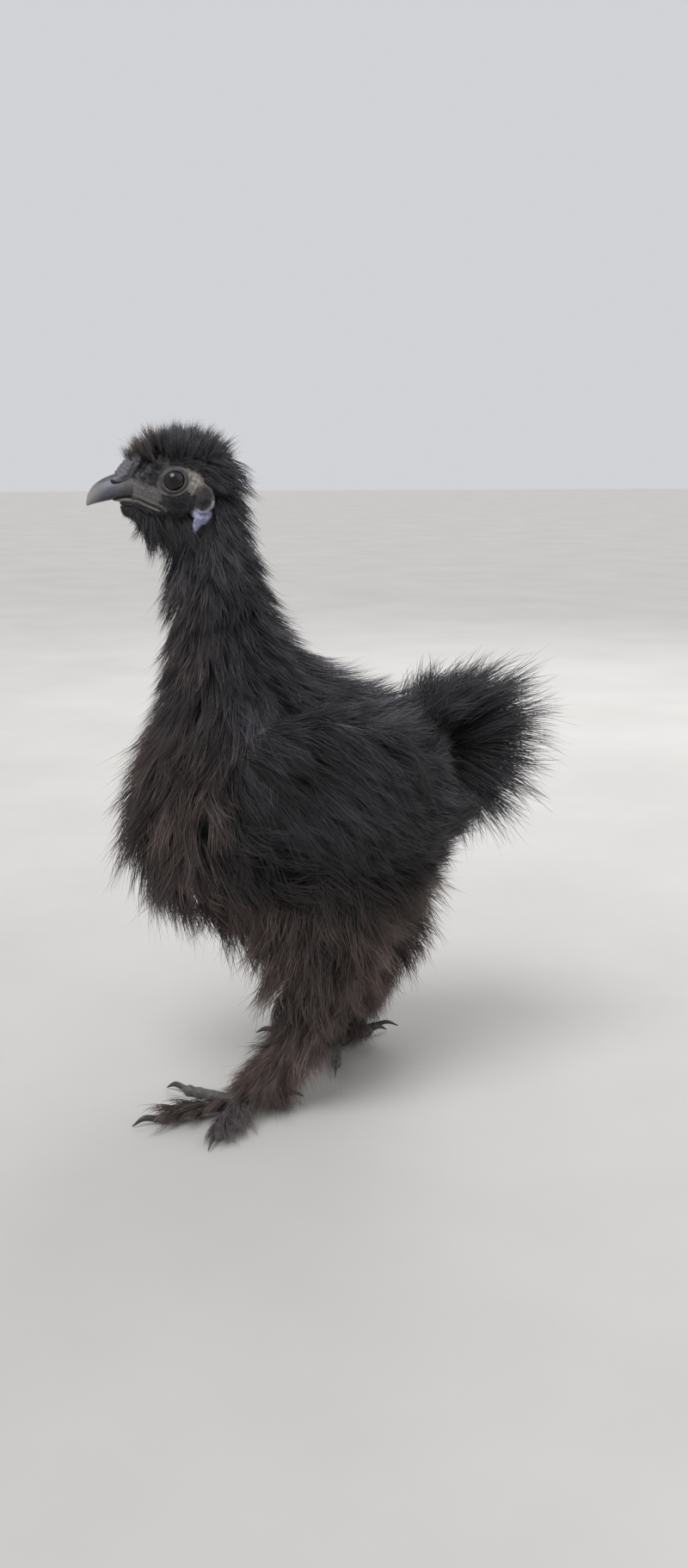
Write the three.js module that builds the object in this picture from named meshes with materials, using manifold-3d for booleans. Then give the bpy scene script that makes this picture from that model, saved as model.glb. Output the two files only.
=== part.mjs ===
// A young black silkie chicken, life size, standing with its left leg forward.
// Millimetres, +Z up, the beak points to -X and the bird's left side is -Y.
import * as THREE from 'three';
import Module from 'manifold-3d';

const wasm = await Module();
wasm.setup();

// Driving dimensions, measured on a bird about 306 mm tall.
const gap = 0.3; // between neighbouring pieces
const coreShare = 0.45; // how far the core of a coat reaches from the skin to the tips
const tidyWithin = 0.03; // edges shorter than this are merged
const lockClear = 0.8; // feathers stay this far above the floor
const eyeAt = [-54, 9.4, 279.2]; // the right eye; the left one mirrors it
const eyeRadius = 5.2;
const lidRadius = 5.6;
const lidThick = 1.15;
const beakTip = [-91, 0, 269.2];
const lowerBeakTip = [-78.6, 0, 269.4];
const lobeAt = [-43.6, 10.8, 263.6];
const earAt = [-42.4, 10.4, 272];
const footThick = 8.5;
const toeRadius = 3.3;
const clawLength = 9.5;
const leftFoot = [-33, -32];
const rightFoot = [25, 33];

const v3 = (p) => new THREE.Vector3(...p);
const degrees = THREE.MathUtils.degToRad;
const lerp = THREE.MathUtils.lerp;

// Small seeded random source, so that every build is the same.
function randomSource(seed) {
  let state = seed;
  return () => {
    state = (state * 1664525 + 1013904223) % 4294967296;
    return state / 4294967296;
  };
}
const random = randomSource(22);
const vary = (size, share) => size * (1 + share * (2 * random() - 1));

// Points and triangles as a closed solid, turned so that its faces point out.
function solidFrom(points, faces) {
  const vertProperties = new Float32Array(points.flatMap((p) => [p.x, p.y, p.z]));
  let volume = 0;
  const cross = new THREE.Vector3();
  for (const [a, b, c] of faces) {
    volume += points[a].dot(cross.crossVectors(points[b], points[c]));
  }
  const turned = volume < 0 ? faces.map(([a, b, c]) => [a, c, b]) : faces;
  const triVerts = new Uint32Array(turned.flat());
  return new wasm.Manifold(new wasm.Mesh({ numProp: 3, vertProperties, triVerts }));
}

// Rings of equal count joined into a skin, with a pole at each end.
function skinOf(rings, firstPole, lastPole) {
  const count = rings[0].length;
  const points = [firstPole, ...rings.flat(), lastPole];
  const last = points.length - 1;
  const at = (ring, k) => 1 + ring * count + (k % count);
  const faces = [];
  for (let k = 0; k < count; k += 1) {
    faces.push([0, at(0, k + 1), at(0, k)]);
    for (let ring = 0; ring < rings.length - 1; ring += 1) {
      faces.push([at(ring, k), at(ring, k + 1), at(ring + 1, k + 1)]);
      faces.push([at(ring, k), at(ring + 1, k + 1), at(ring + 1, k)]);
    }
    faces.push([last, at(rings.length - 1, k), at(rings.length - 1, k + 1)]);
  }
  return solidFrom(points, faces);
}

// A limb or trunk as a bent tube. Each ring has a back point, a front point, a half width and a coat depth.
class Tube {
  constructor(rings) {
    this.backs = new THREE.CatmullRomCurve3(rings.map((r) => v3(r.back)));
    this.fronts = new THREE.CatmullRomCurve3(rings.map((r) => v3(r.front)));
    this.sizes = new THREE.CatmullRomCurve3(rings.map((r) => new THREE.Vector3(r.wide, r.coat, 0)));
  }

  // Where the tube's skin is, t along it and turn round it: 0 is +Y, 90 the back, 180 -Y, 270 the front.
  point(t, turn, coatShare = 0, grow = 0) {
    const back = this.backs.getPoint(t);
    const front = this.fronts.getPoint(t);
    const size = this.sizes.getPoint(t);
    const half = back.clone().sub(front).multiplyScalar(0.5);
    const out = size.y * coatShare + grow;
    const high = half.length() + out;
    const wide = size.x + out;
    const angle = degrees(turn);
    const middle = back.add(front).multiplyScalar(0.5);
    middle.addScaledVector(half.normalize(), Math.sin(angle) * high);
    middle.y += Math.cos(angle) * wide;
    return middle;
  }

  normal(t, turn) {
    const near = Math.min(Math.max(t, 0.02), 0.98);
    const along = this.point(near + 0.01, turn).sub(this.point(near - 0.01, turn));
    const round = this.point(near, turn + 4).sub(this.point(near, turn - 4));
    return round.cross(along).normalize();
  }

  solid(sides, slices, coatShare, grow = 0, [from, to] = [0, 1]) {
    const rings = [];
    for (let i = 0; i <= slices; i += 1) {
      const ring = [];
      for (let k = 0; k < sides; k += 1) {
        ring.push(this.point(lerp(from, to, i / slices), (360 * (k + 0.5)) / sides, coatShare, grow));
      }
      rings.push(ring);
    }
    const middle = (ring) => ring.reduce((sum, p) => sum.add(p), new THREE.Vector3()).divideScalar(sides);
    const ends = [middle(rings[0]), middle(rings[slices])];
    const inner = [middle(rings[1]), middle(rings[slices - 1])];
    const bulge = 1.5 + grow;
    const poles = ends.map((end, i) => end.addScaledVector(end.clone().sub(inner[i]).normalize(), bulge));
    return skinOf(rings, poles[0], poles[1]);
  }
}

// A flat lock: a three-cornered section along a path, widest a third of the way and ending in a point.
// Each path step has a point and the way that is up from the coat there.
const lockShape = (share, blunt) => (share < 0.34 ? lerp(0.66, 1, share / 0.34) : 1 - ((share - 0.34) / 0.66) ** blunt);
function lock({ path, width, thick, blunt = 1.6 }, grow = 0) {
  const rings = [];
  const last = path.length - 1;
  for (let i = 0; i < last; i += 1) {
    const { at, up } = path[i];
    const along = path[i + 1].at.clone().sub(path[Math.max(i - 1, 0)].at).normalize();
    const side = along.clone().cross(up).normalize();
    const rise = side.clone().cross(along).normalize();
    const share = lockShape(i / last, blunt);
    const half = (width * share) / 2 + 2.6 * grow;
    const high = thick * (0.4 + 0.6 * share);
    rings.push([
      at.clone().addScaledVector(side, half).addScaledVector(rise, -0.35 * high - grow),
      at.clone().addScaledVector(rise, 0.65 * high + 1.6 * grow),
      at.clone().addScaledVector(side, -half).addScaledVector(rise, -0.35 * high - grow),
    ]);
  }
  const tip = path[last].at.clone();
  tip.addScaledVector(tip.clone().sub(path[last - 1].at).normalize(), 2 * grow);
  const ends = [...rings.slice(1), [tip]];
  const links = rings.map((ring, i) => wasm.Manifold.hull([...ring, ...ends[i]].map((p) => p.toArray())));
  return wasm.Manifold.union(links);
}

// The path of a lock that lies along a tube: its root is inside the core and its tip comes out to the outline.
function pathOnTube(tube, t, turn, { length, rise = 1, sway = 0, droop = 0, bends = 3, root = 5 }) {
  const path = [];
  let here = t;
  let last = null;
  for (let i = 0; i <= bends; i += 1) {
    const share = i / bends;
    const spin = turn + sway * share;
    const out = lerp(coreShare - 0.1, rise, share ** 0.65);
    const near = Math.min(Math.max(here, 0.021), 0.96);
    const at = tube.point(near, spin, out);
    const step = tube.point(near + 0.02, spin, out).sub(tube.point(near - 0.02, spin, out));
    if (here > near) {
      at.addScaledVector(step, (here - near) / 0.04);
    }
    const up = tube.normal(near, spin);
    at.addScaledVector(up, i === 0 ? -root : 0);
    at.z -= droop * length * share ** 2;
    at.z = Math.max(at.z, lockClear + 1);
    path.push({ at, up });
    last = at;
    here += (length / bends / step.length()) * 0.04;
  }
  return path;
}

// The path of a lock that grows free: from a root, along a direction, bending as it goes.
function freePath(from, direction, { length, bend = [0, 0, 0], up, bends = 3 }) {
  const path = [];
  for (let i = 0; i <= bends; i += 1) {
    const share = i / bends;
    const at = v3(from)
      .addScaledVector(v3(direction).normalize(), length * share)
      .addScaledVector(v3(bend), length * share ** 2);
    at.z = Math.max(at.z, lockClear + 1);
    path.push({ at, up: v3(up).normalize() });
  }
  return path;
}

// Rows of locks over part of a tube, each row shifted half a lock from the one before it.
function coatRows(tube, { rows, across, from, to, turns, width, thick, covered, blunt, ...lie }) {
  const locks = [];
  for (let row = 0; row < rows; row += 1) {
    const t = lerp(from, to, rows > 1 ? row / (rows - 1) : 0);
    for (let k = 0; k < across; k += 1) {
      const place = (k + 0.25 + (row % 2) * 0.5) / across;
      const turn = lerp(turns[0], turns[1], place) + 4 * (2 * random() - 1);
      const start = t + 0.01 * (2 * random() - 1);
      const sway = (lie.sway ?? 0) + 7 * (2 * random() - 1);
      const sizes = { length: vary(lie.length, 0.14), rise: vary(lie.rise ?? 1, 0.06) };
      const bulk = { width: vary(width, 0.1), thick: vary(thick, 0.1), blunt };
      if (!covered || !covered(start, ((turn % 360) + 360) % 360, row)) {
        locks.push({ path: pathOnTube(tube, start, turn, { ...lie, ...sizes, sway }), ...bulk });
      }
    }
  }
  return locks;
}

// A piece is a function that gives its solid, grown by some clearance.
const tubePiece = (tube, sides, slices, coatShare, range) => (grow) => tube.solid(sides, slices, coatShare, grow, range);
const lockPieces = (locks) => locks.map((sizes) => (grow) => lock(sizes, grow));

// A ball squeezed to three half sizes, which may be tilted about Y.
function ballPiece(at, halves, tilt = 0, rings = 8, sides = 12) {
  return (grow) => {
    const turn = new THREE.Euler(0, degrees(tilt), 0);
    const place = (polar, around) =>
      new THREE.Vector3(
        (halves[0] + grow) * Math.cos(polar),
        (halves[1] + grow) * Math.sin(polar) * Math.cos(around),
        (halves[2] + grow) * Math.sin(polar) * Math.sin(around),
      )
        .applyEuler(turn)
        .add(v3(at));
    const layers = [];
    for (let i = 1; i < rings; i += 1) {
      const layer = [];
      for (let k = 0; k < sides; k += 1) {
        layer.push(place((Math.PI * i) / rings, (2 * Math.PI * k) / sides));
      }
      layers.push(layer);
    }
    return skinOf(layers, place(0, 0), place(Math.PI, 0));
  };
}

// A closed ring round an axis along Y, such as an eyelid.
function ringPiece(at, radiusX, radiusZ, thick, steps = 12) {
  return (grow) => {
    const sides = 5;
    const points = [];
    const faces = [];
    for (let i = 0; i < steps; i += 1) {
      const round = (2 * Math.PI * i) / steps;
      for (let k = 0; k < sides; k += 1) {
        const section = (2 * Math.PI * k) / sides;
        const out = (thick + grow) * Math.cos(section);
        points.push(
          new THREE.Vector3(
            at[0] + (radiusX + out) * Math.cos(round),
            at[1] + (thick + grow) * Math.sin(section),
            at[2] + (radiusZ + out) * Math.sin(round),
          ),
        );
        const a = i * sides + k;
        const b = i * sides + ((k + 1) % sides);
        const next = (i + 1) % steps;
        const c = next * sides + ((k + 1) % sides);
        const d = next * sides + k;
        faces.push([a, b, c], [a, c, d]);
      }
    }
    return solidFrom(points, faces);
  };
}

// A tapering horn or toe along a path of points with radii, flattened sideways by a share.
function hornPiece(points, radii, squash = 1, sides = 8, slices = (points.length - 1) * 2) {
  return (grow) => {
    const curve = new THREE.CatmullRomCurve3(points.map(v3));
    const rings = [];
    for (let i = 0; i <= slices; i += 1) {
      const t = i / slices;
      const along = curve.getTangent(t);
      const side = new THREE.Vector3(0, 0, 1).cross(along).normalize();
      const rise = along.clone().cross(side);
      const spot = t * (radii.length - 1);
      const low = Math.min(Math.floor(spot), radii.length - 2);
      const radius = lerp(radii[low], radii[low + 1], spot - low) + grow;
      const ring = [];
      for (let k = 0; k < sides; k += 1) {
        const round = (2 * Math.PI * (k + 0.5)) / sides;
        ring.push(
          curve
            .getPoint(t)
            .addScaledVector(side, squash * radius * Math.cos(round))
            .addScaledVector(rise, radius * Math.sin(round)),
        );
      }
      rings.push(ring);
    }
    const first = curve.getPoint(0).addScaledVector(curve.getTangent(0), -grow - 0.4);
    const last = curve.getPoint(1).addScaledVector(curve.getTangent(1), grow + 0.4);
    return skinOf(rings, first, last);
  };
}

const joined = (pieces, grow = 0) => wasm.Manifold.union(pieces.map((piece) => piece(grow)));

// Everything above the floor, so that what stands on it has small flats at one level.
function aboveFloor(level = 0) {
  const half = 400;
  const corners = [];
  for (const z of [level, level + half]) {
    corners.push(new THREE.Vector3(-half, -half, z), new THREE.Vector3(half, -half, z));
    corners.push(new THREE.Vector3(half, half, z), new THREE.Vector3(-half, half, z));
  }
  const walls = [0, 1, 2, 3].flatMap((k) => {
    const next = (k + 1) % 4;
    return [[k, next, next + 4], [k, next + 4, k + 4]];
  });
  return solidFrom(corners, [[0, 2, 1], [0, 3, 2], [4, 5, 6], [4, 6, 7], ...walls]);
}
const overFloor = aboveFloor();

// The largest closed surface of a solid, without loose scraps or sealed hollows.
function largest(solid) {
  const bodies = solid.decompose();
  return bodies.reduce((best, body) => (body.volume() > best.volume() ? body : best));
}

// A node's pieces as one body, less the grown pieces of the neighbours that lie over it.
function fused(pieces, neighbours = []) {
  let solid = joined(pieces);
  for (const neighbour of neighbours) {
    solid = solid.subtract(joined(neighbour, gap));
  }
  return largest(largest(solid.intersect(overFloor)).simplify(tidyWithin));
}

const mirrored = (p) => [p[0], -p[1], p[2]];
const mirrorTube = (rings) => rings.map((r) => ({ ...r, back: mirrored(r.back), front: mirrored(r.front) }));

// The neck and trunk are one bent tube from the back of the head to the rump.
// Its back point runs down the nape and along the back, its front point down the throat and the breast.
const trunkRings = [
  { back: [-33, 0, 282], front: [-58, 0, 265], wide: 6, coat: 6 },
  { back: [-30, 0, 268], front: [-53, 0, 257], wide: 8.5, coat: 8 },
  { back: [-27, 0, 252], front: [-50, 0, 246], wide: 10.8, coat: 10 },
  { back: [-24, 0, 233], front: [-49, 0, 228], wide: 12, coat: 11.5 },
  { back: [-17, 0, 214], front: [-49, 0, 206], wide: 14, coat: 12.5 },
  { back: [-6, 0, 199], front: [-52, 0, 184], wide: 19, coat: 14 },
  { back: [9, 0, 187], front: [-60, 0, 158], wide: 27, coat: 16 },
  { back: [20, 0, 181], front: [-65, 0, 131], wide: 32, coat: 18 },
  { back: [29, 0, 177], front: [-55, 0, 105], wide: 34, coat: 19 },
  { back: [37, 0, 174], front: [-29, 0, 91], wide: 34, coat: 18 },
  { back: [45, 0, 170], front: [2, 0, 89], wide: 32, coat: 17 },
  { back: [53, 0, 166], front: [32, 0, 92], wide: 28, coat: 17 },
  { back: [61, 0, 159], front: [54, 0, 102], wide: 21, coat: 16 },
  { back: [65, 0, 150], front: [66, 0, 121], wide: 11, coat: 13 },
];
const trunk = new Tube(trunkRings);
const neckEnd = 5 / 13; // how far along the trunk the neck ends

const headRings = [
  { back: [-31, 0, 284], front: [-32, 0, 273], wide: 5, coat: 3 },
  { back: [-37, 0, 290], front: [-39, 0, 264], wide: 10, coat: 3 },
  { back: [-46, 0, 293.5], front: [-48, 0, 260], wide: 12.2, coat: 3 },
  { back: [-56, 0, 292.5], front: [-58, 0, 261.5], wide: 11.4, coat: 2.5 },
  { back: [-64, 0, 288], front: [-66, 0, 264], wide: 8.6, coat: 1.5 },
  { back: [-70.5, 0, 283.5], front: [-72, 0, 266.5], wide: 6.2, coat: 0.5 },
];
const head = new Tube(headRings);

const wingRings = [
  { back: [-33, 29, 170], front: [-35, 29, 156], wide: 4, coat: 6 },
  { back: [-24, 36, 178], front: [-28, 36, 141], wide: 8, coat: 7 },
  { back: [4, 40, 179], front: [-4, 40, 126], wide: 9.5, coat: 8 },
  { back: [30, 38, 172], front: [22, 38, 119], wide: 8.5, coat: 8 },
  { back: [50, 33, 158], front: [44, 33, 119], wide: 6, coat: 7 },
  { back: [62, 28, 146], front: [60, 28, 126], wide: 3, coat: 5 },
];

const tailRings = [
  { back: [44, 0, 172], front: [50, 0, 138], wide: 9, coat: 14 },
  { back: [60, 0, 177], front: [64, 0, 138], wide: 8, coat: 18 },
  { back: [74, 0, 176], front: [77, 0, 144], wide: 6, coat: 23 },
  { back: [82, 0, 168], front: [84, 0, 154], wide: 4, coat: 24 },
];
const tail = new Tube(tailRings);

const leftThighRings = [
  { back: [28, -18, 118], front: [-20, -18, 116], wide: 14, coat: 12 },
  { back: [25, -24, 98], front: [-17, -24, 95], wide: 13, coat: 14 },
  { back: [19, -29, 78], front: [-12, -29, 75], wide: 10, coat: 15 },
  { back: [12, -31, 61], front: [-8, -31, 57], wide: 6.5, coat: 15 },
  { back: [7, -31, 48], front: [-5, -31, 44], wide: 4.8, coat: 13 },
];
const rightThighRings = [
  { back: [44, 18, 118], front: [-6, 18, 114], wide: 14, coat: 12 },
  { back: [51, 23, 98], front: [8, 23, 92], wide: 13, coat: 15 },
  { back: [52, 28, 78], front: [20, 28, 72], wide: 10, coat: 16 },
  { back: [53, 31, 61], front: [33, 31, 54], wide: 6.5, coat: 14 },
  { back: [53, 33, 48], front: [41, 33, 43], wide: 4.8, coat: 11 },
];
const leftShankRings = [
  { back: [9, -31, 52], front: [-5, -31, 49], wide: 4.6, coat: 9 },
  { back: [1, -31, 41], front: [-9, -31, 35], wide: 4.2, coat: 12 },
  { back: [-12, -31.5, 27], front: [-20, -31.5, 21], wide: 3.8, coat: 12 },
  { back: [-24, -32, 13], front: [-32, -32, 8], wide: 4.2, coat: 6 },
];
const rightShankRings = [
  { back: [54, 33, 53], front: [41, 33, 50], wide: 4.6, coat: 8 },
  { back: [49, 33, 43], front: [40, 33, 37], wide: 4.2, coat: 9 },
  { back: [40, 33, 28], front: [32, 33, 22], wide: 3.8, coat: 9 },
  { back: [31, 33, 13], front: [22, 33, 9], wide: 4.2, coat: 5 },
];

const materials = {
  plumage: new THREE.MeshStandardMaterial({ color: 0x26242a, roughness: 0.95 }),
  rust: new THREE.MeshStandardMaterial({ color: 0x35302e, roughness: 0.95 }),
  face: new THREE.MeshStandardMaterial({ color: 0x56535a, roughness: 0.7 }),
  beak: new THREE.MeshStandardMaterial({ color: 0x5a5a64, roughness: 0.4 }),
  comb: new THREE.MeshStandardMaterial({ color: 0x3e3a42, roughness: 0.6 }),
  eye: new THREE.MeshStandardMaterial({ color: 0x0c0a0c, roughness: 0.1 }),
  lobe: new THREE.MeshStandardMaterial({ color: 0x7684a8, roughness: 0.6 }),
  toe: new THREE.MeshStandardMaterial({ color: 0x45424a, roughness: 0.7 }),
  claw: new THREE.MeshStandardMaterial({ color: 0x2c2a2e, roughness: 0.4 }),
};

const nodes = [];
function addNode(name, material, solid) {
  const mesh = solid.getMesh();
  const geometry = new THREE.BufferGeometry();
  geometry.setAttribute('position', new THREE.BufferAttribute(new Float32Array(mesh.vertProperties), 3));
  geometry.setIndex(new THREE.BufferAttribute(new Uint32Array(mesh.triVerts), 1));
  geometry.computeVertexNormals();
  const made = new THREE.Mesh(geometry, materials[material]);
  made.name = name;
  nodes.push(made);
}

// Head
const leftEyeAt = mirrored(eyeAt);
const eyes = { right: [ballPiece(eyeAt, [eyeRadius, eyeRadius - 0.6, eyeRadius], 0, 6, 12)] };
eyes.left = [ballPiece(leftEyeAt, [eyeRadius, eyeRadius - 0.6, eyeRadius], 0, 6, 12)];
const lidShift = 2.2;
const lids = [1, -1].map((side) =>
  ringPiece([eyeAt[0], side * (eyeAt[1] + lidShift), eyeAt[2]], lidRadius, lidRadius - 0.5, lidThick),
);
const ears = [1, -1].map((side) => ringPiece([earAt[0], side * earAt[1], earAt[2]], 3.6, 3.9, 1.3, 10));
const headCore = tubePiece(head, 13, 7, coreShare);
const headPieces = [headCore, ...lids, ...ears];

// Beak: the upper half hooks over the lower one
const upperBeakPieces = [
  hornPiece(
    [[-66, 0, 275], [-74, 0, 275.6], [-82, 0, 274.6], [-88, 0, 272], beakTip],
    [7.2, 5.9, 4.5, 2.6, 0.5],
    0.86,
    9,
    6,
  ),
];
const lowerBeakPieces = [
  hornPiece([[-60, 0, 266.6], [-66, 0, 267.2], [-73, 0, 268.2], lowerBeakTip], [3.4, 3.0, 2.2, 0.6], 1.2, 8),
];
const mouthCut = hornPiece([[-60, 0, 268.8], [-72, 0, 269.6], [-95, 0, 268.2]], [1, 1, 1], 1, 6);
const nostrils = [1, -1].map((side) => ballPiece([-78.2, side * 4.6, 276.6], [2.3, 1.2, 0.7], -14, 4, 6));
const combPieces = [ballPiece([-75.6, 0, 283.6], [7.6, 4, 2.9], -33, 5, 8)];
for (const share of [-0.7, 0, 0.7]) {
  for (const side of [-1, 1]) {
    const at = [-75.6 + 6 * share, 2 * side, 285 + 4 * share];
    combPieces.push(ballPiece(at, [vary(2.3, 0.1), vary(1.9, 0.1), vary(2.2, 0.12)], 0, 4, 5));
  }
}

const lobes = {};
for (const [name, side] of [['right', 1], ['left', -1]]) {
  lobes[name] = [
    ballPiece([lobeAt[0], side * lobeAt[1], lobeAt[2]], [4.2, 2.2, 3.8], 0, 4, 7),
    ballPiece([lobeAt[0] - 1.6, side * lobeAt[1], lobeAt[2] - 4], [2.2, 1.3, 2.6], 0, 4, 5),
  ];
}

addNode('head', 'face', fused(headPieces, [eyes.left, eyes.right]));
addNode('eye_left', 'eye', fused(eyes.left));
addNode('eye_right', 'eye', fused(eyes.right));
const upperBeak = fused(upperBeakPieces, [headPieces, [mouthCut], nostrils]);
addNode('upper_beak', 'beak', upperBeak);
addNode('lower_beak', 'beak', fused(lowerBeakPieces, [headPieces, upperBeakPieces]));
addNode('comb', 'comb', fused(combPieces, [headPieces, upperBeakPieces]));
addNode('earlobe_left', 'lobe', fused(lobes.left, [headPieces]));
addNode('earlobe_right', 'lobe', fused(lobes.right, [headPieces]));

// Crest: a small tousled fan over the skull
const crestLocks = { middle: [-51, 0, 289], reach: [23, 15, 16.5], rows: 5, across: 4, width: 14, thick: 3.8, lean: 14 };
const crestFan = [];
for (let row = 0; row < crestLocks.rows; row += 1) {
  for (let k = 0; k < crestLocks.across; k += 1) {
    const { middle, reach, rows, across, width, thick, lean } = crestLocks;
    const fore = lerp(176, 22, row / (rows - 1)) + 5 * (2 * random() - 1);
    const side = lerp(-68, 68, (k + 0.5 * (row % 2) + 0.25) / across) + 5 * (2 * random() - 1);
    const toward = (angle, size) => {
      const [a, b] = [degrees(angle), degrees(side)];
      const spread = [Math.cos(a) * Math.cos(b), Math.sin(b), Math.sin(a) * Math.cos(b)];
      return new THREE.Vector3(...middle.map((value, axis) => value + size * reach[axis] * spread[axis]));
    };
    const tip = vary(1.0, 0.07);
    const path = [0.25, 0.58, 0.82, tip].map((size, i) => {
      const at = toward(fore - lean * (i / 3) ** 1.5, size);
      return { at, up: toward(fore + 70, 1).sub(v3(middle)).normalize() };
    });
    crestFan.push({ path, width: vary(width, 0.12), thick: vary(thick, 0.1) });
  }
}
const crestPieces = [ballPiece([-50, 0, 288.5], [20, 13, 10.5], 6, 6, 9), ...lockPieces(crestFan)];
addNode('crest', 'plumage', fused(crestPieces, [headPieces, combPieces]));

// Throat: a few short locks under the bill
const throatPieces = [ballPiece([-60.5, 0, 260.5], [9, 8.5, 6], 20, 5, 8)];
for (const k of [-2, -1, 0, 1, 2]) {
  const root = [-66 + 2.2 * Math.abs(k), 3.7 * k, 264];
  const way = [0.3, 0.15 * k, -1];
  const path = freePath(root, way, { length: vary(18, 0.1), bend: [0.12, 0, 0], up: [-1, 0.42 * k, 0] });
  throatPieces.push(...lockPieces([{ path, width: 9.5, thick: 3.4 }]));
}
addNode('throat', 'plumage', fused(throatPieces, [headPieces, lowerBeakPieces]));

// Neck: short locks that lie down it
const neckLocks = { rows: 5, across: 8, from: 0.03, to: 0.34, turns: [0, 360], length: 27, width: 15, thick: 4.4 };
const nearEar = (t, turn) => t < 0.07 && (Math.abs(((turn + 90) % 180) - 90) < 42 || turn > 235);
const neckPieces = [
  tubePiece(trunk, 10, 5, coreShare, [0, neckEnd]),
  ...lockPieces(coatRows(trunk, { ...neckLocks, covered: nearEar })),
];
addNode('neck', 'plumage', fused(neckPieces, [headPieces, crestPieces, throatPieces, lobes.left, lobes.right]));

// Wings: three tiers of overlapping vanes, the last ones the longest
const wings = {
  left: { tube: new Tube(mirrorTube(wingRings)), outside: 180, down: 1 },
  right: { tube: new Tube(wingRings), outside: 0, down: -1 },
};
const wingTiers = [
  { rows: 1, across: 4, from: 0.05, length: 32, width: 17, thick: 4, rise: 1, blunt: 2.2 },
  { rows: 1, across: 5, from: 0.27, length: 36, width: 16, thick: 4, rise: 1, blunt: 2.4 },
  { rows: 1, across: 6, from: 0.5, length: 46, width: 14, thick: 3.6, rise: 1, blunt: 2.6 },
];
const wingPieces = {};
for (const side of ['left', 'right']) {
  const { tube, outside, down } = wings[side];
  const vanes = wingTiers.flatMap((tier) =>
    coatRows(tube, { ...tier, to: tier.from, turns: [outside - 82 * down, outside + 82 * down], sway: 14 * down }),
  );
  wingPieces[side] = [tubePiece(tube, 10, 6, coreShare), ...lockPieces(vanes)];
  addNode(`wing_${side}`, 'plumage', fused(wingPieces[side], [neckPieces]));
}

// Trunk: long soft locks over the back, the breast and the belly, and none under the wings
const underWing = (t, turn) => t > 0.45 && t < 0.9 && Math.abs(((turn + 90) % 180) - 90) < 32;
const crowded = (turn, row) => row % 2 === 1 && turn > 15 && turn < 165; // the back is shorter than the belly
const betweenLegs = (t, turn) => t > 0.74 && turn > 225 && turn < 315;
const torsoLocks = { rows: 7, across: 8, from: 0.39, to: 0.89, turns: [0, 360], length: 40, width: 27, thick: 6 };
const fluffLocks = { length: 32, width: 17, thick: 5, way: [0.42, 0, -1], bend: [0.25, 0, 0.1] };
const torsoPieces = [
  tubePiece(trunk, 12, 7, coreShare, [neckEnd, 1]),
  ...lockPieces(
    coatRows(trunk, {
      ...torsoLocks,
      covered: (t, turn, row) => underWing(t, turn) || crowded(turn, row) || betweenLegs(t, turn),
    }),
  ),
];
for (const [x, y, z] of [[44, -12, 100], [44, 12, 100], [54, -9, 108], [54, 9, 108], [60, 0, 118], [52, 22, 108]]) {
  const { length, way, bend, ...bulk } = fluffLocks;
  const path = freePath([x, y, z], way, { length: vary(length, 0.1), bend, up: [1, 0.03 * y, -0.2] });
  torsoPieces.push(...lockPieces([{ path, ...bulk }]));
}
addNode('torso', 'plumage', fused(torsoPieces, [neckPieces, wingPieces.left, wingPieces.right]));

// Tail: a brush of long curved plumes that fan up, back and down
const tailFan = {
  middle: [62, 160],
  spread: 26,
  width: 13,
  thick: 3.8,
  arch: 9,
  plumes: [
    { angle: 88, reach: 39 },
    { angle: 64, reach: 44 },
    { angle: 43, reach: 58 },
    { angle: 25, reach: 66 },
    { angle: 6, reach: 62 },
    { angle: -13, reach: 61 },
    { angle: -33, reach: 59 },
    { angle: -55, reach: 50 },
  ],
};
const plumes = [];
tailFan.plumes.forEach(({ angle, reach }, row) => {
  for (let k = 0; k < 4 - (row % 2); k += 1) {
    const place = (k + 0.5) / (4 - (row % 2));
    const side = 2 * place - 1;
    const tipReach = vary(reach * (1 - 0.18 * side ** 2), 0.05);
    const turn = degrees(angle + 5 * (2 * random() - 1));
    const up = new THREE.Vector3(-Math.sin(turn), 0, Math.cos(turn));
    const path = [0.3, 0.62, 0.84, 1].map((share) => {
      const arch = tailFan.arch * Math.sin(Math.PI * share);
      const at = new THREE.Vector3(
        tailFan.middle[0] + Math.cos(turn) * tipReach * share,
        tailFan.spread * side * share ** 0.6,
        tailFan.middle[1] + Math.sin(turn) * tipReach * share,
      );
      return { at: at.addScaledVector(up, arch), up };
    });
    plumes.push({ path, width: vary(tailFan.width, 0.12), thick: vary(tailFan.thick, 0.1) });
  }
});
const tailCoverts = { rows: 2, across: 5, from: 0.2, to: 0.6, turns: [0, 360], length: 30, width: 15, thick: 4, rise: 0.95 };
const tailPieces = [
  tubePiece(tail, 8, 3, coreShare),
  ...lockPieces(coatRows(tail, tailCoverts)),
  ...lockPieces(plumes),
];
addNode('tail', 'plumage', fused(tailPieces, [torsoPieces, wingPieces.left, wingPieces.right]));

// Legs and feet
const thighLocks = { rows: 4, across: 4, from: 0.22, to: 0.84, turns: [0, 360], length: 30, width: 19, thick: 5, root: 3 };
const shankLocks = { rows: 2, across: 4, from: 0.28, to: 0.6, length: 26, width: 10, thick: 2.8, root: 1.5 };
const footLocks = { spreads: [15, -17, -33, -67], ahead: 4, high: 9, length: 30, width: 9.5, thick: 2.6, bend: [0, 0, -0.3] };
const toeSpread = { 1: 180, 2: 55, 3: 2, 4: -51, 5: 146 };
const toeLength = { 1: 15, 2: 27, 3: 35, 4: 28, 5: 15 };
const legs = {
  left: { thigh: new Tube(leftThighRings), shank: new Tube(leftShankRings), foot: leftFoot, inward: 1, out: 12, outside: 180 },
  right: { thigh: new Tube(rightThighRings), shank: new Tube(rightShankRings), foot: rightFoot, inward: -1, out: -22, outside: 0 },
};
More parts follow.
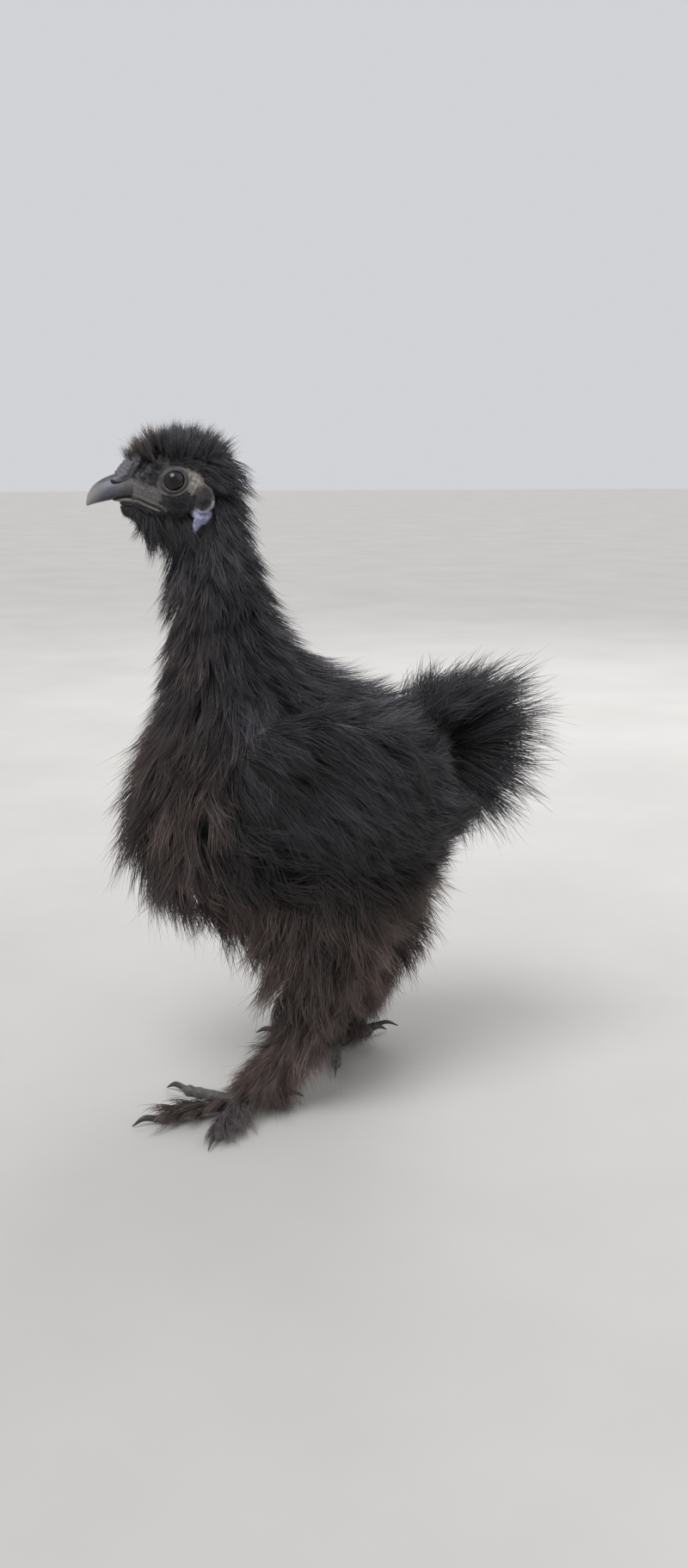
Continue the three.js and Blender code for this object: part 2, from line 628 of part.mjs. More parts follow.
for (const [side, leg] of Object.entries(legs)) {
  const [footX, footY] = leg.foot;
  const padPieces = [ballPiece([footX, footY, footThick / 2 - 0.8], [8.5, 7, footThick / 2 + 0.8], 0, 5, 8)];
  const toes = [];
  for (const number of [1, 2, 3, 4, 5]) {
    const angle = degrees(180 - leg.inward * (toeSpread[number] - leg.out));
    const direction = new THREE.Vector3(Math.cos(angle), Math.sin(angle), 0);
    const lift = number === 5 ? 9 : 0;
    const place = (distance, height) => [
      footX + direction.x * distance,
      footY + direction.y * distance,
      height + (lift * Math.min(distance, 20)) / 20,
    ];
    const radius = toeRadius * (number === 5 ? 0.75 : 1);
    const reach = 6 + toeLength[number];
    const level = radius - 0.55;
    const toe = [
      hornPiece(
        [place(3, level + 1), place(reach * 0.5, level + 0.5), place(reach * 0.8, level), place(reach, level - 0.3)],
        [radius, radius * 0.92, radius * 0.8, radius * 0.66],
        1,
        6,
        4,
      ),
    ];
    const claw = [
      hornPiece(
        [
          place(reach - 2, level - 0.2),
          place(reach + clawLength * 0.45, level + 0.6),
          place(reach + clawLength, 0.9),
        ],
        [radius * 0.58, radius * 0.44, 0.3],
        0.8,
        4,
        3,
      ),
    ];
    toes.push({ number, toe, claw });
  }
  const toePieces = toes.flatMap(({ toe }) => toe);
  addNode(`foot_${side}`, 'toe', fused(padPieces));
  for (const { number, toe, claw } of toes) {
    const others = toes.filter((other) => other.number < number).flatMap((other) => other.toe);
    addNode(`toe_${side}_${number}`, 'toe', fused(toe, others.length ? [padPieces, others] : [padPieces]));
    addNode(`claw_${side}_${number}`, 'claw', fused(claw, [toe]));
  }
  const shankPieces = [
    tubePiece(leg.shank, 6, 3, coreShare),
    ...lockPieces(coatRows(leg.shank, { ...shankLocks, turns: [leg.outside - 130, leg.outside + 130] })),
  ];
  const { spreads, ahead, high, length, bend, ...bulk } = footLocks;
  for (const spread of spreads) {
    const turn = degrees(180 - leg.inward * (spread - leg.out));
    const root = [footX + ahead * Math.cos(turn), footY + ahead * Math.sin(turn), high];
    const way = [Math.cos(turn), Math.sin(turn), -0.02];
    const path = freePath(root, way, { length: vary(length, 0.12), bend, up: [0, 0, 1] });
    shankPieces.push(...lockPieces([{ path, ...bulk }]));
  }
  const thighPieces = [
    tubePiece(leg.thigh, 8, 4, coreShare),
    ...lockPieces(coatRows(leg.thigh, thighLocks)),
  ];
  addNode(`shank_${side}`, 'toe', fused(shankPieces, [padPieces, toePieces]));
  addNode(`thigh_${side}`, 'rust', fused(thighPieces, [torsoPieces, wingPieces[side], shankPieces]));
}

// The origin is the middle of the model's box, on the floor.
const bird = new THREE.Group();
bird.add(...nodes);
const box = new THREE.Box3().setFromObject(bird);
const centre = box.getCenter(new THREE.Vector3());
bird.position.set(-centre.x, -centre.y, -box.min.z);

export default bird;
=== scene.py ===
import math

import bpy
import numpy as np
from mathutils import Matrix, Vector
from mathutils.bvhtree import BVHTree


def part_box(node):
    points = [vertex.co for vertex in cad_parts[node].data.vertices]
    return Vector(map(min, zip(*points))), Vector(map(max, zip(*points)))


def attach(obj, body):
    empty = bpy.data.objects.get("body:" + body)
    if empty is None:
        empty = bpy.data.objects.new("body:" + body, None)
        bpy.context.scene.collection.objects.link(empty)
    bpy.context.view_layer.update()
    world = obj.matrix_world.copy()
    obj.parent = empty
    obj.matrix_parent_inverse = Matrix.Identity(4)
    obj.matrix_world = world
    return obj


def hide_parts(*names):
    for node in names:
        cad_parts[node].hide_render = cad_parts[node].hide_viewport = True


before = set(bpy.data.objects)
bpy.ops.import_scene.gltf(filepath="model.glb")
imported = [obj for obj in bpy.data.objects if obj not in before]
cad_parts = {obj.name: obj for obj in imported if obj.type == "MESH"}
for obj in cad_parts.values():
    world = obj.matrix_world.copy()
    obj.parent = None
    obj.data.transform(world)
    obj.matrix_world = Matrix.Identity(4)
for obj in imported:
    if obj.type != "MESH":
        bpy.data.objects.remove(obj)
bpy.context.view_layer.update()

# A young silkie, laid out in millimetres with its beak to -X and its left side to -Y.
# shift takes a millimetre place on the bird to the model's own frame.
bird = {
    "eye": [-54, -9.4, 279.2],
    "earMiddle": [-42.3, 271.8],
    "lobeMiddle": [-43.6, 263.9],
    "floorClear": 0.9,
    "seed": 11,
}
mm = 0.001
low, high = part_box("eye_left")
eyeMiddle = (np.array(low) + np.array(high)) / 2
shift = eyeMiddle - np.array(bird["eye"]) * mm
draw = np.random.default_rng(bird["seed"])
print("frame loaded, bird shifted by", shift.round(5))


def toFrame(points):
    return np.asarray(points, float) * mm + shift


def unit(vectors):
    size = np.linalg.norm(vectors, axis=-1, keepdims=True)
    return vectors / np.maximum(size, 1e-9)


def smoothRise(value, start, end):
    share = np.clip((value - start) / (end - start), 0, 1)
    return share * share * (3 - 2 * share)


def smoothFall(value, start, end):
    return 1 - smoothRise(value, start, end)


def hump(value, width):
    return np.exp(-((value / width) ** 2))


def uneven(shape, share):
    return 1 + share * draw.uniform(-1, 1, shape)


# Random moves round zero, with none further out than twice the usual size
def nudge(size, shape):
    return size * np.clip(draw.normal(size=shape), -2, 2)


# Uneven waves over the side view, for ragged edges
def wobble(x, z, size):
    across = np.sin(1.7 * x / size + 1.3 * np.sin(z / size))
    return across * np.sin(1.9 * z / size + 1.1 * np.sin(0.8 * x / size))


# Camera, at the height of the bird's head and a little behind its shoulder
cameraView = {"azimuth": -12, "distance": 650, "height": 289.4, "pitch": 12.7, "aside": 21, "lens": 33.39}


def addCamera():
    turn = math.radians(cameraView["azimuth"])
    dip = math.radians(cameraView["pitch"])
    back = Vector((math.sin(turn), -math.cos(turn), 0))
    right = Vector((math.cos(turn), math.sin(turn), 0))
    place = back * cameraView["distance"] + right * cameraView["aside"]
    place.z = cameraView["height"]
    data = bpy.data.cameras.new("camera")
    data.lens = cameraView["lens"]
    data.sensor_width = 36
    data.clip_start = 0.02
    data.clip_end = 60
    camera = bpy.data.objects.new("camera", data)
    bpy.context.scene.collection.objects.link(camera)
    camera.location = toFrame(place)
    forward = Vector((-back.x * math.cos(dip), -back.y * math.cos(dip), -math.sin(dip)))
    camera.rotation_mode = "QUATERNION"
    camera.rotation_quaternion = forward.to_track_quat("-Z", "Y")
    bpy.context.scene.camera = camera


addCamera()

# Material helpers


def newMaterial(name):
    material = bpy.data.materials.new(name)
    material.use_nodes = True
    tree = material.node_tree
    shader = tree.nodes["Principled BSDF"]
    return material, tree, shader


def addNode(tree, kind, inputs=None, **settings):
    node = tree.nodes.new(kind)
    for key, value in settings.items():
        setattr(node, key, value)
    for key, value in (inputs or {}).items():
        if isinstance(value, bpy.types.NodeSocket):
            tree.links.new(value, node.inputs[key])
        else:
            node.inputs[key].default_value = value
    return node


def mathNode(tree, operation, first, second=0.5):
    node = addNode(tree, "ShaderNodeMath", {0: first, 1: second}, operation=operation)
    return node.outputs[0]


def mixColour(tree, share, first, second, blend="MIX"):
    node = tree.nodes.new("ShaderNodeMix")
    node.data_type = "RGBA"
    node.blend_type = blend
    for index, value in ((0, share), (6, first), (7, second)):
        if isinstance(value, bpy.types.NodeSocket):
            tree.links.new(value, node.inputs[index])
        else:
            node.inputs[index].default_value = value if index == 0 else (*value, 1)
    return node.outputs[2]


def ramp(tree, value, stops):
    node = tree.nodes.new("ShaderNodeValToRGB")
    tree.links.new(value, node.inputs[0])
    elements = node.color_ramp.elements
    while len(elements) < len(stops):
        elements.new(0.5)
    for element, (place, colour) in zip(elements, stops):
        element.position = place
        element.color = (*colour, 1)
    return node.outputs[0]


def noiseNode(tree, scale, detail=4, roughness=0.55, vector=None):
    inputs = {"Scale": scale, "Detail": detail, "Roughness": roughness}
    if vector is None:
        vector = addNode(tree, "ShaderNodeTexCoord").outputs["Object"]
    inputs["Vector"] = vector
    return addNode(tree, "ShaderNodeTexNoise", inputs).outputs["Fac"]


def bumpNode(tree, height, strength, distance):
    inputs = {"Height": height, "Strength": strength, "Distance": distance}
    return addNode(tree, "ShaderNodeBump", inputs).outputs[0]


# Mesh helpers


def meshPiece(name, points, faces, material):
    mesh = bpy.data.meshes.new(name)
    points = toFrame(points).astype(np.float32)
    faces = np.asarray(faces, np.int32)
    corners = faces.shape[1]
    mesh.vertices.add(len(points))
    mesh.vertices.foreach_set("co", points.ravel())
    mesh.loops.add(faces.size)
    mesh.loops.foreach_set("vertex_index", faces.ravel())
    mesh.polygons.add(len(faces))
    mesh.polygons.foreach_set("loop_start", np.arange(len(faces), dtype=np.int32) * corners)
    mesh.polygons.foreach_set("use_smooth", np.ones(len(faces), bool))
    mesh.update(calc_edges=True)
    mesh.validate()
    if material:
        mesh.materials.append(material)
    piece = bpy.data.objects.new(name, mesh)
    bpy.context.scene.collection.objects.link(piece)
    return piece


def triangles(quads):
    quads = np.asarray(quads)
    return np.concatenate([quads[:, [0, 1, 2]], quads[:, [0, 2, 3]]])


# A closed skin over rings of equal count, with a pole at each end
def ringSkin(rings, firstPole, lastPole):
    rings = np.asarray(rings, float)
    count = rings.shape[1]
    points = np.vstack([[firstPole], rings.reshape(-1, 3), [lastPole]])
    k = np.arange(count)
    after = (k + 1) % count
    start = 1 + np.arange(len(rings) - 1)[:, None] * count
    quads = np.stack([start + k, start + after, start + count + after, start + count + k], -1)
    final = 1 + (len(rings) - 1) * count
    caps = [np.stack([np.zeros(count, int), 1 + after, 1 + k], -1)]
    caps.append(np.stack([np.full(count, len(points) - 1), final + k, final + after], -1))
    faces = np.vstack([triangles(quads.reshape(-1, 4)), *caps])
    corner = points[faces]
    volume = np.einsum("ij,ij->i", corner[:, 0], np.cross(corner[:, 1], corner[:, 2])).sum()
    return points, faces if volume > 0 else faces[:, ::-1]


def joinForms(forms):
    points = []
    faces = []
    count = 0
    for formPoints, formFaces in forms:
        points.append(formPoints)
        faces.append(np.asarray(formFaces) + count)
        count += len(formPoints)
    return np.vstack(points), np.vstack(faces)


# A smooth curve through points, with t from 0 to 1 spread evenly over them
def alongCurve(points, t):
    points = np.asarray(points, float)
    last = len(points) - 1
    spot = np.clip(t, 0, 1) * last
    lower = np.minimum(spot.astype(int), last - 1)
    w = (spot - lower)[:, None]
    padded = np.vstack([2 * points[0] - points[1], points, 2 * points[-1] - points[-2]])
    p0, p1, p2, p3 = (padded[lower + k] for k in range(4))
    d0, d1, d2 = (np.linalg.norm(b - a, axis=1)[:, None] ** 0.5 for a, b in ((p0, p1), (p1, p2), (p2, p3)))
    d1 = np.maximum(d1, 1e-4)
    d0 = np.where(d0 < 1e-4, d1, d0)
    d2 = np.where(d2 < 1e-4, d1, d2)
    m1 = ((p1 - p0) / d0 - (p2 - p0) / (d0 + d1) + (p2 - p1) / d1) * d1
    m2 = ((p2 - p1) / d1 - (p3 - p1) / (d1 + d2) + (p3 - p2) / d2) * d1
    return p1 + m1 * w + (3 * (p2 - p1) - 2 * m1 - m2) * w**2 + (2 * (p1 - p2) + m1 + m2) * w**3


# A limb or trunk as a bent tube: each ring has a back point, a front point, a half width and a coat depth
def tubeFrom(rings):
    rows = np.array([[*back, *front, wide, coat] for back, front, wide, coat in rings], float)
    return {"back": rows[:, :3], "front": rows[:, 3:6], "sizes": rows[:, 6:]}


def tubePoint(tube, t, turn, coatShare=0.0):
    t, turn, coatShare = np.broadcast_arrays(t, turn, coatShare)
    shape = t.shape
    flat = t.ravel().astype(float)
    back = alongCurve(tube["back"], flat)
    front = alongCurve(tube["front"], flat)
    size = alongCurve(tube["sizes"], flat)
    half = (back - front) / 2
    out = size[:, 1] * coatShare.ravel()
    tall = np.linalg.norm(half, axis=1)
    angle = np.radians(turn.ravel())
    points = (back + front) / 2 + unit(half) * (np.sin(angle) * (tall + out))[:, None]
    points[:, 1] += np.cos(angle) * (size[:, 0] + out)
    return points.reshape(*shape, 3)


def tubeNormal(tube, t, turn):
    near = np.clip(t, 0.02, 0.98)
    along = tubePoint(tube, near + 0.01, turn) - tubePoint(tube, near - 0.01, turn)
    around = tubePoint(tube, near, turn + 4) - tubePoint(tube, near, turn - 4)
    normal = unit(np.cross(around, along))
    outward = tubePoint(tube, near, turn) - tubePoint(tube, near, turn + 180)
    return normal * np.sign((normal * outward).sum(-1, keepdims=True))


def tubeForm(tube, sides, slices, bulge=1.5):
    t = np.linspace(0, 1, slices + 1)[:, None]
    turn = (np.arange(sides) * 360 / sides)[None, :]
    rings = tubePoint(tube, t, turn)
    ends = rings[0].mean(0), rings[-1].mean(0)
    inner = rings[1].mean(0), rings[-2].mean(0)
    poles = [end + unit(end - near) * bulge for end, near in zip(ends, inner)]
    return ringSkin(rings, *poles)


def ballForm(middle, halves, tilt=0, rings=24, sides=32):
    polar = np.linspace(0, math.pi, rings + 1)[1:-1, None]
    around = np.linspace(0, 2 * math.pi, sides, endpoint=False)[None, :]
    x = np.cos(polar) * np.ones_like(around)
    y = np.sin(polar) * np.cos(around)
    z = np.sin(polar) * np.sin(around)
    c, s = math.cos(math.radians(tilt)), math.sin(math.radians(tilt))
    turned = np.array([[c, 0, s], [0, 1, 0], [-s, 0, c]])

    def place(spot):
        return (np.asarray(spot) * halves) @ turned.T + np.asarray(middle, float)

    return ringSkin(place(np.stack([x, y, z], -1)), place([1, 0, 0]), place([-1, 0, 0]))


# A tapering horn, toe or claw along a path, with a radius for each point
def hornForm(points, radii, squash=1.0, sides=20, slices=24, tip=0.3):
    t = np.linspace(0, 1, slices + 1)
    middle = alongCurve(points, t)
    before = alongCurve(points, np.clip(t - 0.01, 0, 1))
    along = unit(alongCurve(points, np.clip(t + 0.01, 0, 1)) - before)
    side = unit(np.cross([0, 0, 1], along))
    rise = np.cross(along, side)
    radius = np.interp(t * (len(radii) - 1), np.arange(len(radii)), radii)[:, None, None]
    angle = (np.arange(sides) * 2 * math.pi / sides)[None, :, None]
    around = squash * np.cos(angle) * side[:, None] + np.sin(angle) * rise[:, None]
    rings = middle[:, None] + radius * around
    return ringSkin(rings, middle[0] - along[0] * tip, middle[-1] + along[-1] * tip)


def mirrored(rings):
    across = np.array([1, -1, 1])
    return [(back * across, front * across, wide, coat) for back, front, wide, coat in rings]


# The shape under the coat, the same as the solids': back point, front point, half width, coat depth
trunkRings = [
    ([-33, 0, 282], [-58, 0, 265], 6, 6),
    ([-30, 0, 268], [-53, 0, 257], 8.5, 8),
    ([-27, 0, 252], [-50, 0, 246], 10.8, 10),
    ([-24, 0, 233], [-49, 0, 228], 12, 11.5),
    ([-17, 0, 214], [-49, 0, 206], 14, 12.5),
    ([-6, 0, 199], [-52, 0, 184], 19, 14),
    ([9, 0, 187], [-60, 0, 158], 27, 16),
    ([20, 0, 181], [-65, 0, 131], 32, 18),
    ([29, 0, 177], [-55, 0, 105], 34, 19),
    ([37, 0, 174], [-29, 0, 91], 34, 18),
    ([45, 0, 170], [2, 0, 89], 32, 17),
    ([53, 0, 166], [32, 0, 92], 28, 17),
    ([61, 0, 159], [54, 0, 102], 21, 16),
    ([65, 0, 150], [66, 0, 121], 11, 13),
]
headRings = [
    ([-31, 0, 284], [-32, 0, 273], 5, 3),
    ([-37, 0, 290], [-39, 0, 264], 10, 3),
    ([-46, 0, 293.5], [-48, 0, 260], 12.2, 3),
    ([-56, 0, 292.5], [-58, 0, 261.5], 11.4, 2.5),
    ([-64, 0, 288], [-66, 0, 264], 8.6, 1.5),
    ([-70.5, 0, 283.5], [-72, 0, 266.5], 6.2, 0.5),
]
wingRings = [
    ([-33, 29, 170], [-35, 29, 156], 4, 6),
    ([-24, 36, 178], [-28, 36, 141], 8, 7),
    ([4, 40, 179], [-4, 40, 126], 9.5, 8),
    ([30, 38, 172], [22, 38, 119], 8.5, 8),
    ([50, 33, 158], [44, 33, 119], 6, 7),
    ([62, 28, 146], [60, 28, 126], 3, 5),
]
tailRings = [
    ([44, 0, 172], [50, 0, 138], 9, 14),
    ([60, 0, 177], [64, 0, 138], 8, 18),
    ([74, 0, 176], [77, 0, 144], 6, 23),
    ([82, 0, 168], [84, 0, 154], 4, 24),
]
thighRings = {
    "left": [
        ([28, -18, 118], [-20, -18, 116], 14, 12),
        ([25, -24, 98], [-17, -24, 95], 13, 14),
        ([19, -29, 78], [-12, -29, 75], 10, 15),
        ([12, -31, 61], [-8, -31, 57], 6.5, 15),
        ([7, -31, 48], [-5, -31, 44], 4.8, 13),
    ],
    "right": [
        ([44, 18, 118], [-6, 18, 114], 14, 12),
        ([51, 23, 98], [8, 23, 92], 13, 15),
        ([52, 28, 78], [20, 28, 72], 10, 16),
        ([53, 31, 61], [33, 31, 54], 6.5, 14),
        ([53, 33, 48], [41, 33, 43], 4.8, 11),
    ],
}
shankRings = {
    "left": [
        ([9, -31, 52], [-5, -31, 49], 4.6, 9),
        ([1, -31, 41], [-9, -31, 35], 4.2, 12),
        ([-12, -31.5, 27], [-20, -31.5, 21], 3.8, 12),
        ([-24, -32, 13], [-32, -32, 8], 4.2, 6),
    ],
    "right": [
        ([54, 33, 53], [41, 33, 50], 4.6, 8),
        ([49, 33, 43], [40, 33, 37], 4.2, 9),
        ([40, 33, 28], [32, 33, 22], 3.8, 9),
        ([31, 33, 13], [22, 33, 9], 4.2, 5),
    ],
}
trunk = tubeFrom(trunkRings)
head = tubeFrom(headRings)
headBackwards = tubeFrom(headRings[::-1])
tail = tubeFrom(tailRings)
wings = {"left": tubeFrom(mirrored(wingRings)), "right": tubeFrom(wingRings)}
thighs = {side: tubeFrom(rings) for side, rings in thighRings.items()}
shanks = {side: tubeFrom(rings) for side, rings in shankRings.items()}

# Feet: toe 1 points back, 2 is the inner toe, 3 the middle one, 4 the outer one and 5 the small fifth one
feet = {
    "left": {"middle": [-33, -32], "inward": 1, "out": 12},
    "right": {"middle": [25, 33], "inward": -1, "out": -22},
    "thick": 8.5,
    "toeRadius": 3.3,
    "clawLength": 9.5,
    "spread": {1: 180, 2: 55, 3: 2, 4: -51, 5: 146},
    "length": {1: 15, 2: 27, 3: 35, 4: 28, 5: 15},
}


def toeWay(side, spread):
    foot = feet[side]
    angle = math.radians(180 - foot["inward"] * (spread - foot["out"]))
    return np.array([math.cos(angle), math.sin(angle)])


def toePlan(side, number):
    way = toeWay(side, feet["spread"][number])
    lift = 9 if number == 5 else 0
    radius = feet["toeRadius"] * (0.75 if number == 5 else 1)
    reach = 6 + feet["length"][number]
    level = radius - 0.55

    def place(distance, height):
        spot = np.array(feet[side]["middle"]) + way * distance
        return [*spot, height + lift * min(distance, 20) / 20]

    toe = [place(3, level + 1), place(reach * 0.5, level + 0.5), place(reach * 0.8, level)]
    toe.append(place(reach, level - 0.3))
    claw = [place(reach - 2, level - 0.2), place(reach + feet["clawLength"] * 0.45, level + 0.6)]
    claw.append(place(reach + feet["clawLength"], 0.9))
    return {"toe": toe, "claw": claw, "radius": radius, "way": way}


# Skin: head, trunk, limbs and toes fused into one closed surface
skinSizes = {
    "bodyVoxel": 1.6,
    "headVoxel": 0.42,
    "footVoxel": 0.5,
    "bodySmoothing": 4,
    "smoothing": 3,
    "toeShare": 0.77,
}


def remeshed(points, faces, voxel, rounds):
    rough = meshPiece("rough", points, faces, None)
    remesh = rough.modifiers.new("remesh", "REMESH")
    remesh.mode = "VOXEL"
    remesh.voxel_size = voxel * mm
    graph = bpy.context.evaluated_depsgraph_get()
    made = bpy.data.meshes.new_from_object(rough.evaluated_get(graph))
    bpy.data.objects.remove(rough)
    count = len(made.vertices)
    spots = np.zeros(count * 3, np.float32)
    made.vertices.foreach_get("co", spots)
    spots = (spots.reshape(-1, 3) - shift) / mm
    edges = np.zeros(len(made.edges) * 2, np.int32)
    made.edges.foreach_get("vertices", edges)
    edges = edges.reshape(-1, 2)
    both = np.concatenate([edges, edges[:, ::-1]])
    ties = np.bincount(both[:, 0], minlength=count)[:, None]
    for _ in range(rounds):
        sums = np.stack([np.bincount(both[:, 0], spots[both[:, 1], axis], count) for axis in range(3)], -1)
        spots = spots * 0.4 + sums / ties * 0.6
    loops = np.zeros(len(made.loops), np.int32)
    made.loops.foreach_get("vertex_index", loops)
    bpy.data.meshes.remove(made)
    return spots, triangles(loops.reshape(-1, 4))


def pointNormals(points, faces):
    corner = points[faces]
    normal = np.cross(corner[:, 1] - corner[:, 0], corner[:, 2] - corner[:, 0])
    total = np.zeros_like(points)
    for k in range(3):
        for axis in range(3):
            total[:, axis] += np.bincount(faces[:, k], normal[:, axis], len(points))
    return unit(total)


# How far a place in the side view is from a line through points, and how far along it
def lineDistance(x, z, line):
    best = np.full(x.shape, 1e9)
    share = np.zeros(x.shape)
    steps = len(line) - 1
    for i, (a, b) in enumerate(zip(line[:-1], line[1:])):
        a, b = np.array(a, float), np.array(b, float)
        way = b - a
        t = np.clip(((x - a[0]) * way[0] + (z - a[1]) * way[1]) / (way @ way), 0, 1)
        away = np.hypot(x - a[0] - t * way[0], z - a[1] - t * way[1])
        share = np.where(away < best, (i + t) / steps, share)
        best = np.minimum(best, away)
    return best, share


face = {
    "eyeOpening": [4.0, 3.75],
    "lidHeight": 1.1,
    "lidWide": 0.9,
    "socketDepth": 3.2,
    "foldHalves": [7.2, 6.0],
    "earHalves": [4.7, 5.8],
    "mouthLine": [[-76, 271.6], [-73, 272.2], [-69.4, 271.6], [-65, 269.5], [-60.5, 267.6], [-59, 266.6]],
    "cheekLine": [[-74.5, 275.4], [-68, 274.6], [-62.5, 273.2]],
    "patchLine": [[-47.6, 281.2], [-44.4, 279.4], [-46, 276.2]],
    "nostrilLine": [[-80.4, 279.6], [-78.3, 278.1], [-75.6, 278.3], [-72.9, 279.8]],
}


def eyeDistance(x, z):
    a, b = face["eyeOpening"]
    across = x - bird["eye"][0]
    up = z - bird["eye"][2] - 0.12 * across
    wide = a * (1 + 0.1 * smoothRise(-across, 0, 3))
    tall = b * (1 - 0.05 * smoothRise(up, 0, 3))
    return np.hypot(across / wide, up / tall)


def foldDistance(x, z):
    a, b = face["foldHalves"]
    up = z - bird["eye"][2] + 0.1 - 0.1 * (x - bird["eye"][0])
    return np.hypot((x - bird["eye"][0] + 0.7) / a, up / b)


def earDistance(x, z):
    a, b = face["earHalves"]
    away = np.hypot((x - bird["earMiddle"][0]) / a, (z - bird["earMiddle"][1]) / b)
    return away + 0.05 * wobble(x, z, 1.6)


# Lids, folds, ear cup and the corner of the mouth, as moves along the skin's normals
def shapeFace(points, faces):
    normal = pointNormals(points, faces)
    x, y, z = points.T
    sideways = smoothRise(np.abs(y), 4.5, 7.5)
    eye = eyeDistance(x, z) * sum(face["eyeOpening"]) / 2
    opening = sum(face["eyeOpening"]) / 2
    rim = hump(eye - opening - 0.75, face["lidWide"]) * face["lidHeight"]
    move = rim * (eye > opening - 0.4)
    move -= face["socketDepth"] * smoothFall(eye, opening - 0.55, opening - 0.05)
    fold = foldDistance(x, z)
    move += 0.45 * hump(fold - 1, 0.06) - 0.3 * hump(fold - 0.87, 0.06)
    ear = earDistance(x, z)
    lower = smoothRise(-(z - bird["earMiddle"][1]) + (x - bird["earMiddle"][0]), -4, 4)
    move += (0.25 + 0.75 * lower) * hump(ear - 1.0, 0.14)
    move -= 0.9 * smoothFall(ear, 0.55, 0.95)
    mouth, along = lineDistance(x, z, face["mouthLine"])
    lips = 0.45 * hump(mouth - 0.95, 0.5) - 0.8 * hump(mouth, 0.4)
    move += lips * smoothRise(along, 0.3, 0.5) * smoothFall(along, 0.8, 1)
    ridge = np.sin(3.4 * (0.72 * x + 0.69 * z) + 0.5 * np.sin(1.5 * y))
    comb = smoothRise(-x + 0.5 * (z - 280), 71.5, 74) * smoothRise(z, 279.5, 281.5)
    points = points + normal * (0.12 * ridge * comb)[:, None]
    wrinkle = np.sin(1.9 * x + 0.8 * z) * np.sin(0.7 * x - 2.3 * z + 1)
    cheek, along = lineDistance(x, z, face["cheekLine"])
    patch, along = lineDistance(x, z, face["patchLine"])
    move += 0.14 * wrinkle * np.maximum(hump(cheek, 3.5), 1.5 * hump(patch, 3))
    crease = np.sin(2.6 * eye + 0.9 * np.sin(0.8 * x - 1.1 * z))
    move += 0.1 * crease * smoothRise(eye, 5.6, 6.4) * smoothFall(eye, 8.5, 10)
    return points + normal * (move * sideways)[:, None]


# Comb over the beak's root, with its ridges, and the folds round the nostrils below it
combPad = ([-71.9, 0, 283.4], [9.2, 4.9, 4.8], -44)
combRidges = [
    [-79.6, 280.6], [-77.9, 282.9], [-76.2, 285.0], [-74.4, 287.0], [-72.3, 288.7], [-69.8, 289.8],
]
nostrilFlaps = [
    ((-77.2, 4.1, 279.6), [3.7, 1.6, 1.5], -8),
    ((-75.0, 4.9, 281.6), [3.4, 1.3, 0.9], -30),
    ((-73.6, 5.0, 283.6), [3.2, 1.2, 0.8], -36),
    ((-72.4, 4.8, 285.7), [3.0, 1.1, 0.8], -42),
]
chinPad = ([-70.6, 0, 268.9], [6.4, 4.3, 1.9], 10)


def combForms():
    forms = [ballForm(*combPad)]
    for i, (x, z) in enumerate(combRidges):
        wide = 3.0 + 0.45 * i
        path = [[x + 1.5, side * wide, z - 2.2 - 0.4 * i] if side else [x, 0, z] for side in (-1, 0, 1)]
        forms.append(hornForm(path, [0.6, 0.62 + 0.06 * i, 0.6], sides=12, slices=16))
    for side in (-1, 1):
        for (x, out, z), halves, tilt in nostrilFlaps:
            forms.append(ballForm([x, side * out, z], halves, tilt))
    return forms


# The earlobe's line from its top down: along and up from the lobe's middle, out from the middle plane
lobeRoute = [(5.4, 10.4, 6.4), (3.6, 11.2, 2.2), (0.4, 11.8, -0.6), (-2.0, 12.2, -3.6), (-2.8, 12.2, -6.8)]


def lobeForms():
    x, z = bird["lobeMiddle"]
    forms = []
    for side in (-1, 1):
        drop = [[x + along, side * out, z + up] for along, out, up in lobeRoute]
        forms.append(hornForm(drop, [1.1, 2.3, 3.0, 1.9, 0.5], 0.55, 20, 30))
        forms.append(ballForm([x - 1.8, side * 11.0, z + 1.4], [3.2, 1.6, 1.7], 20))
    return forms


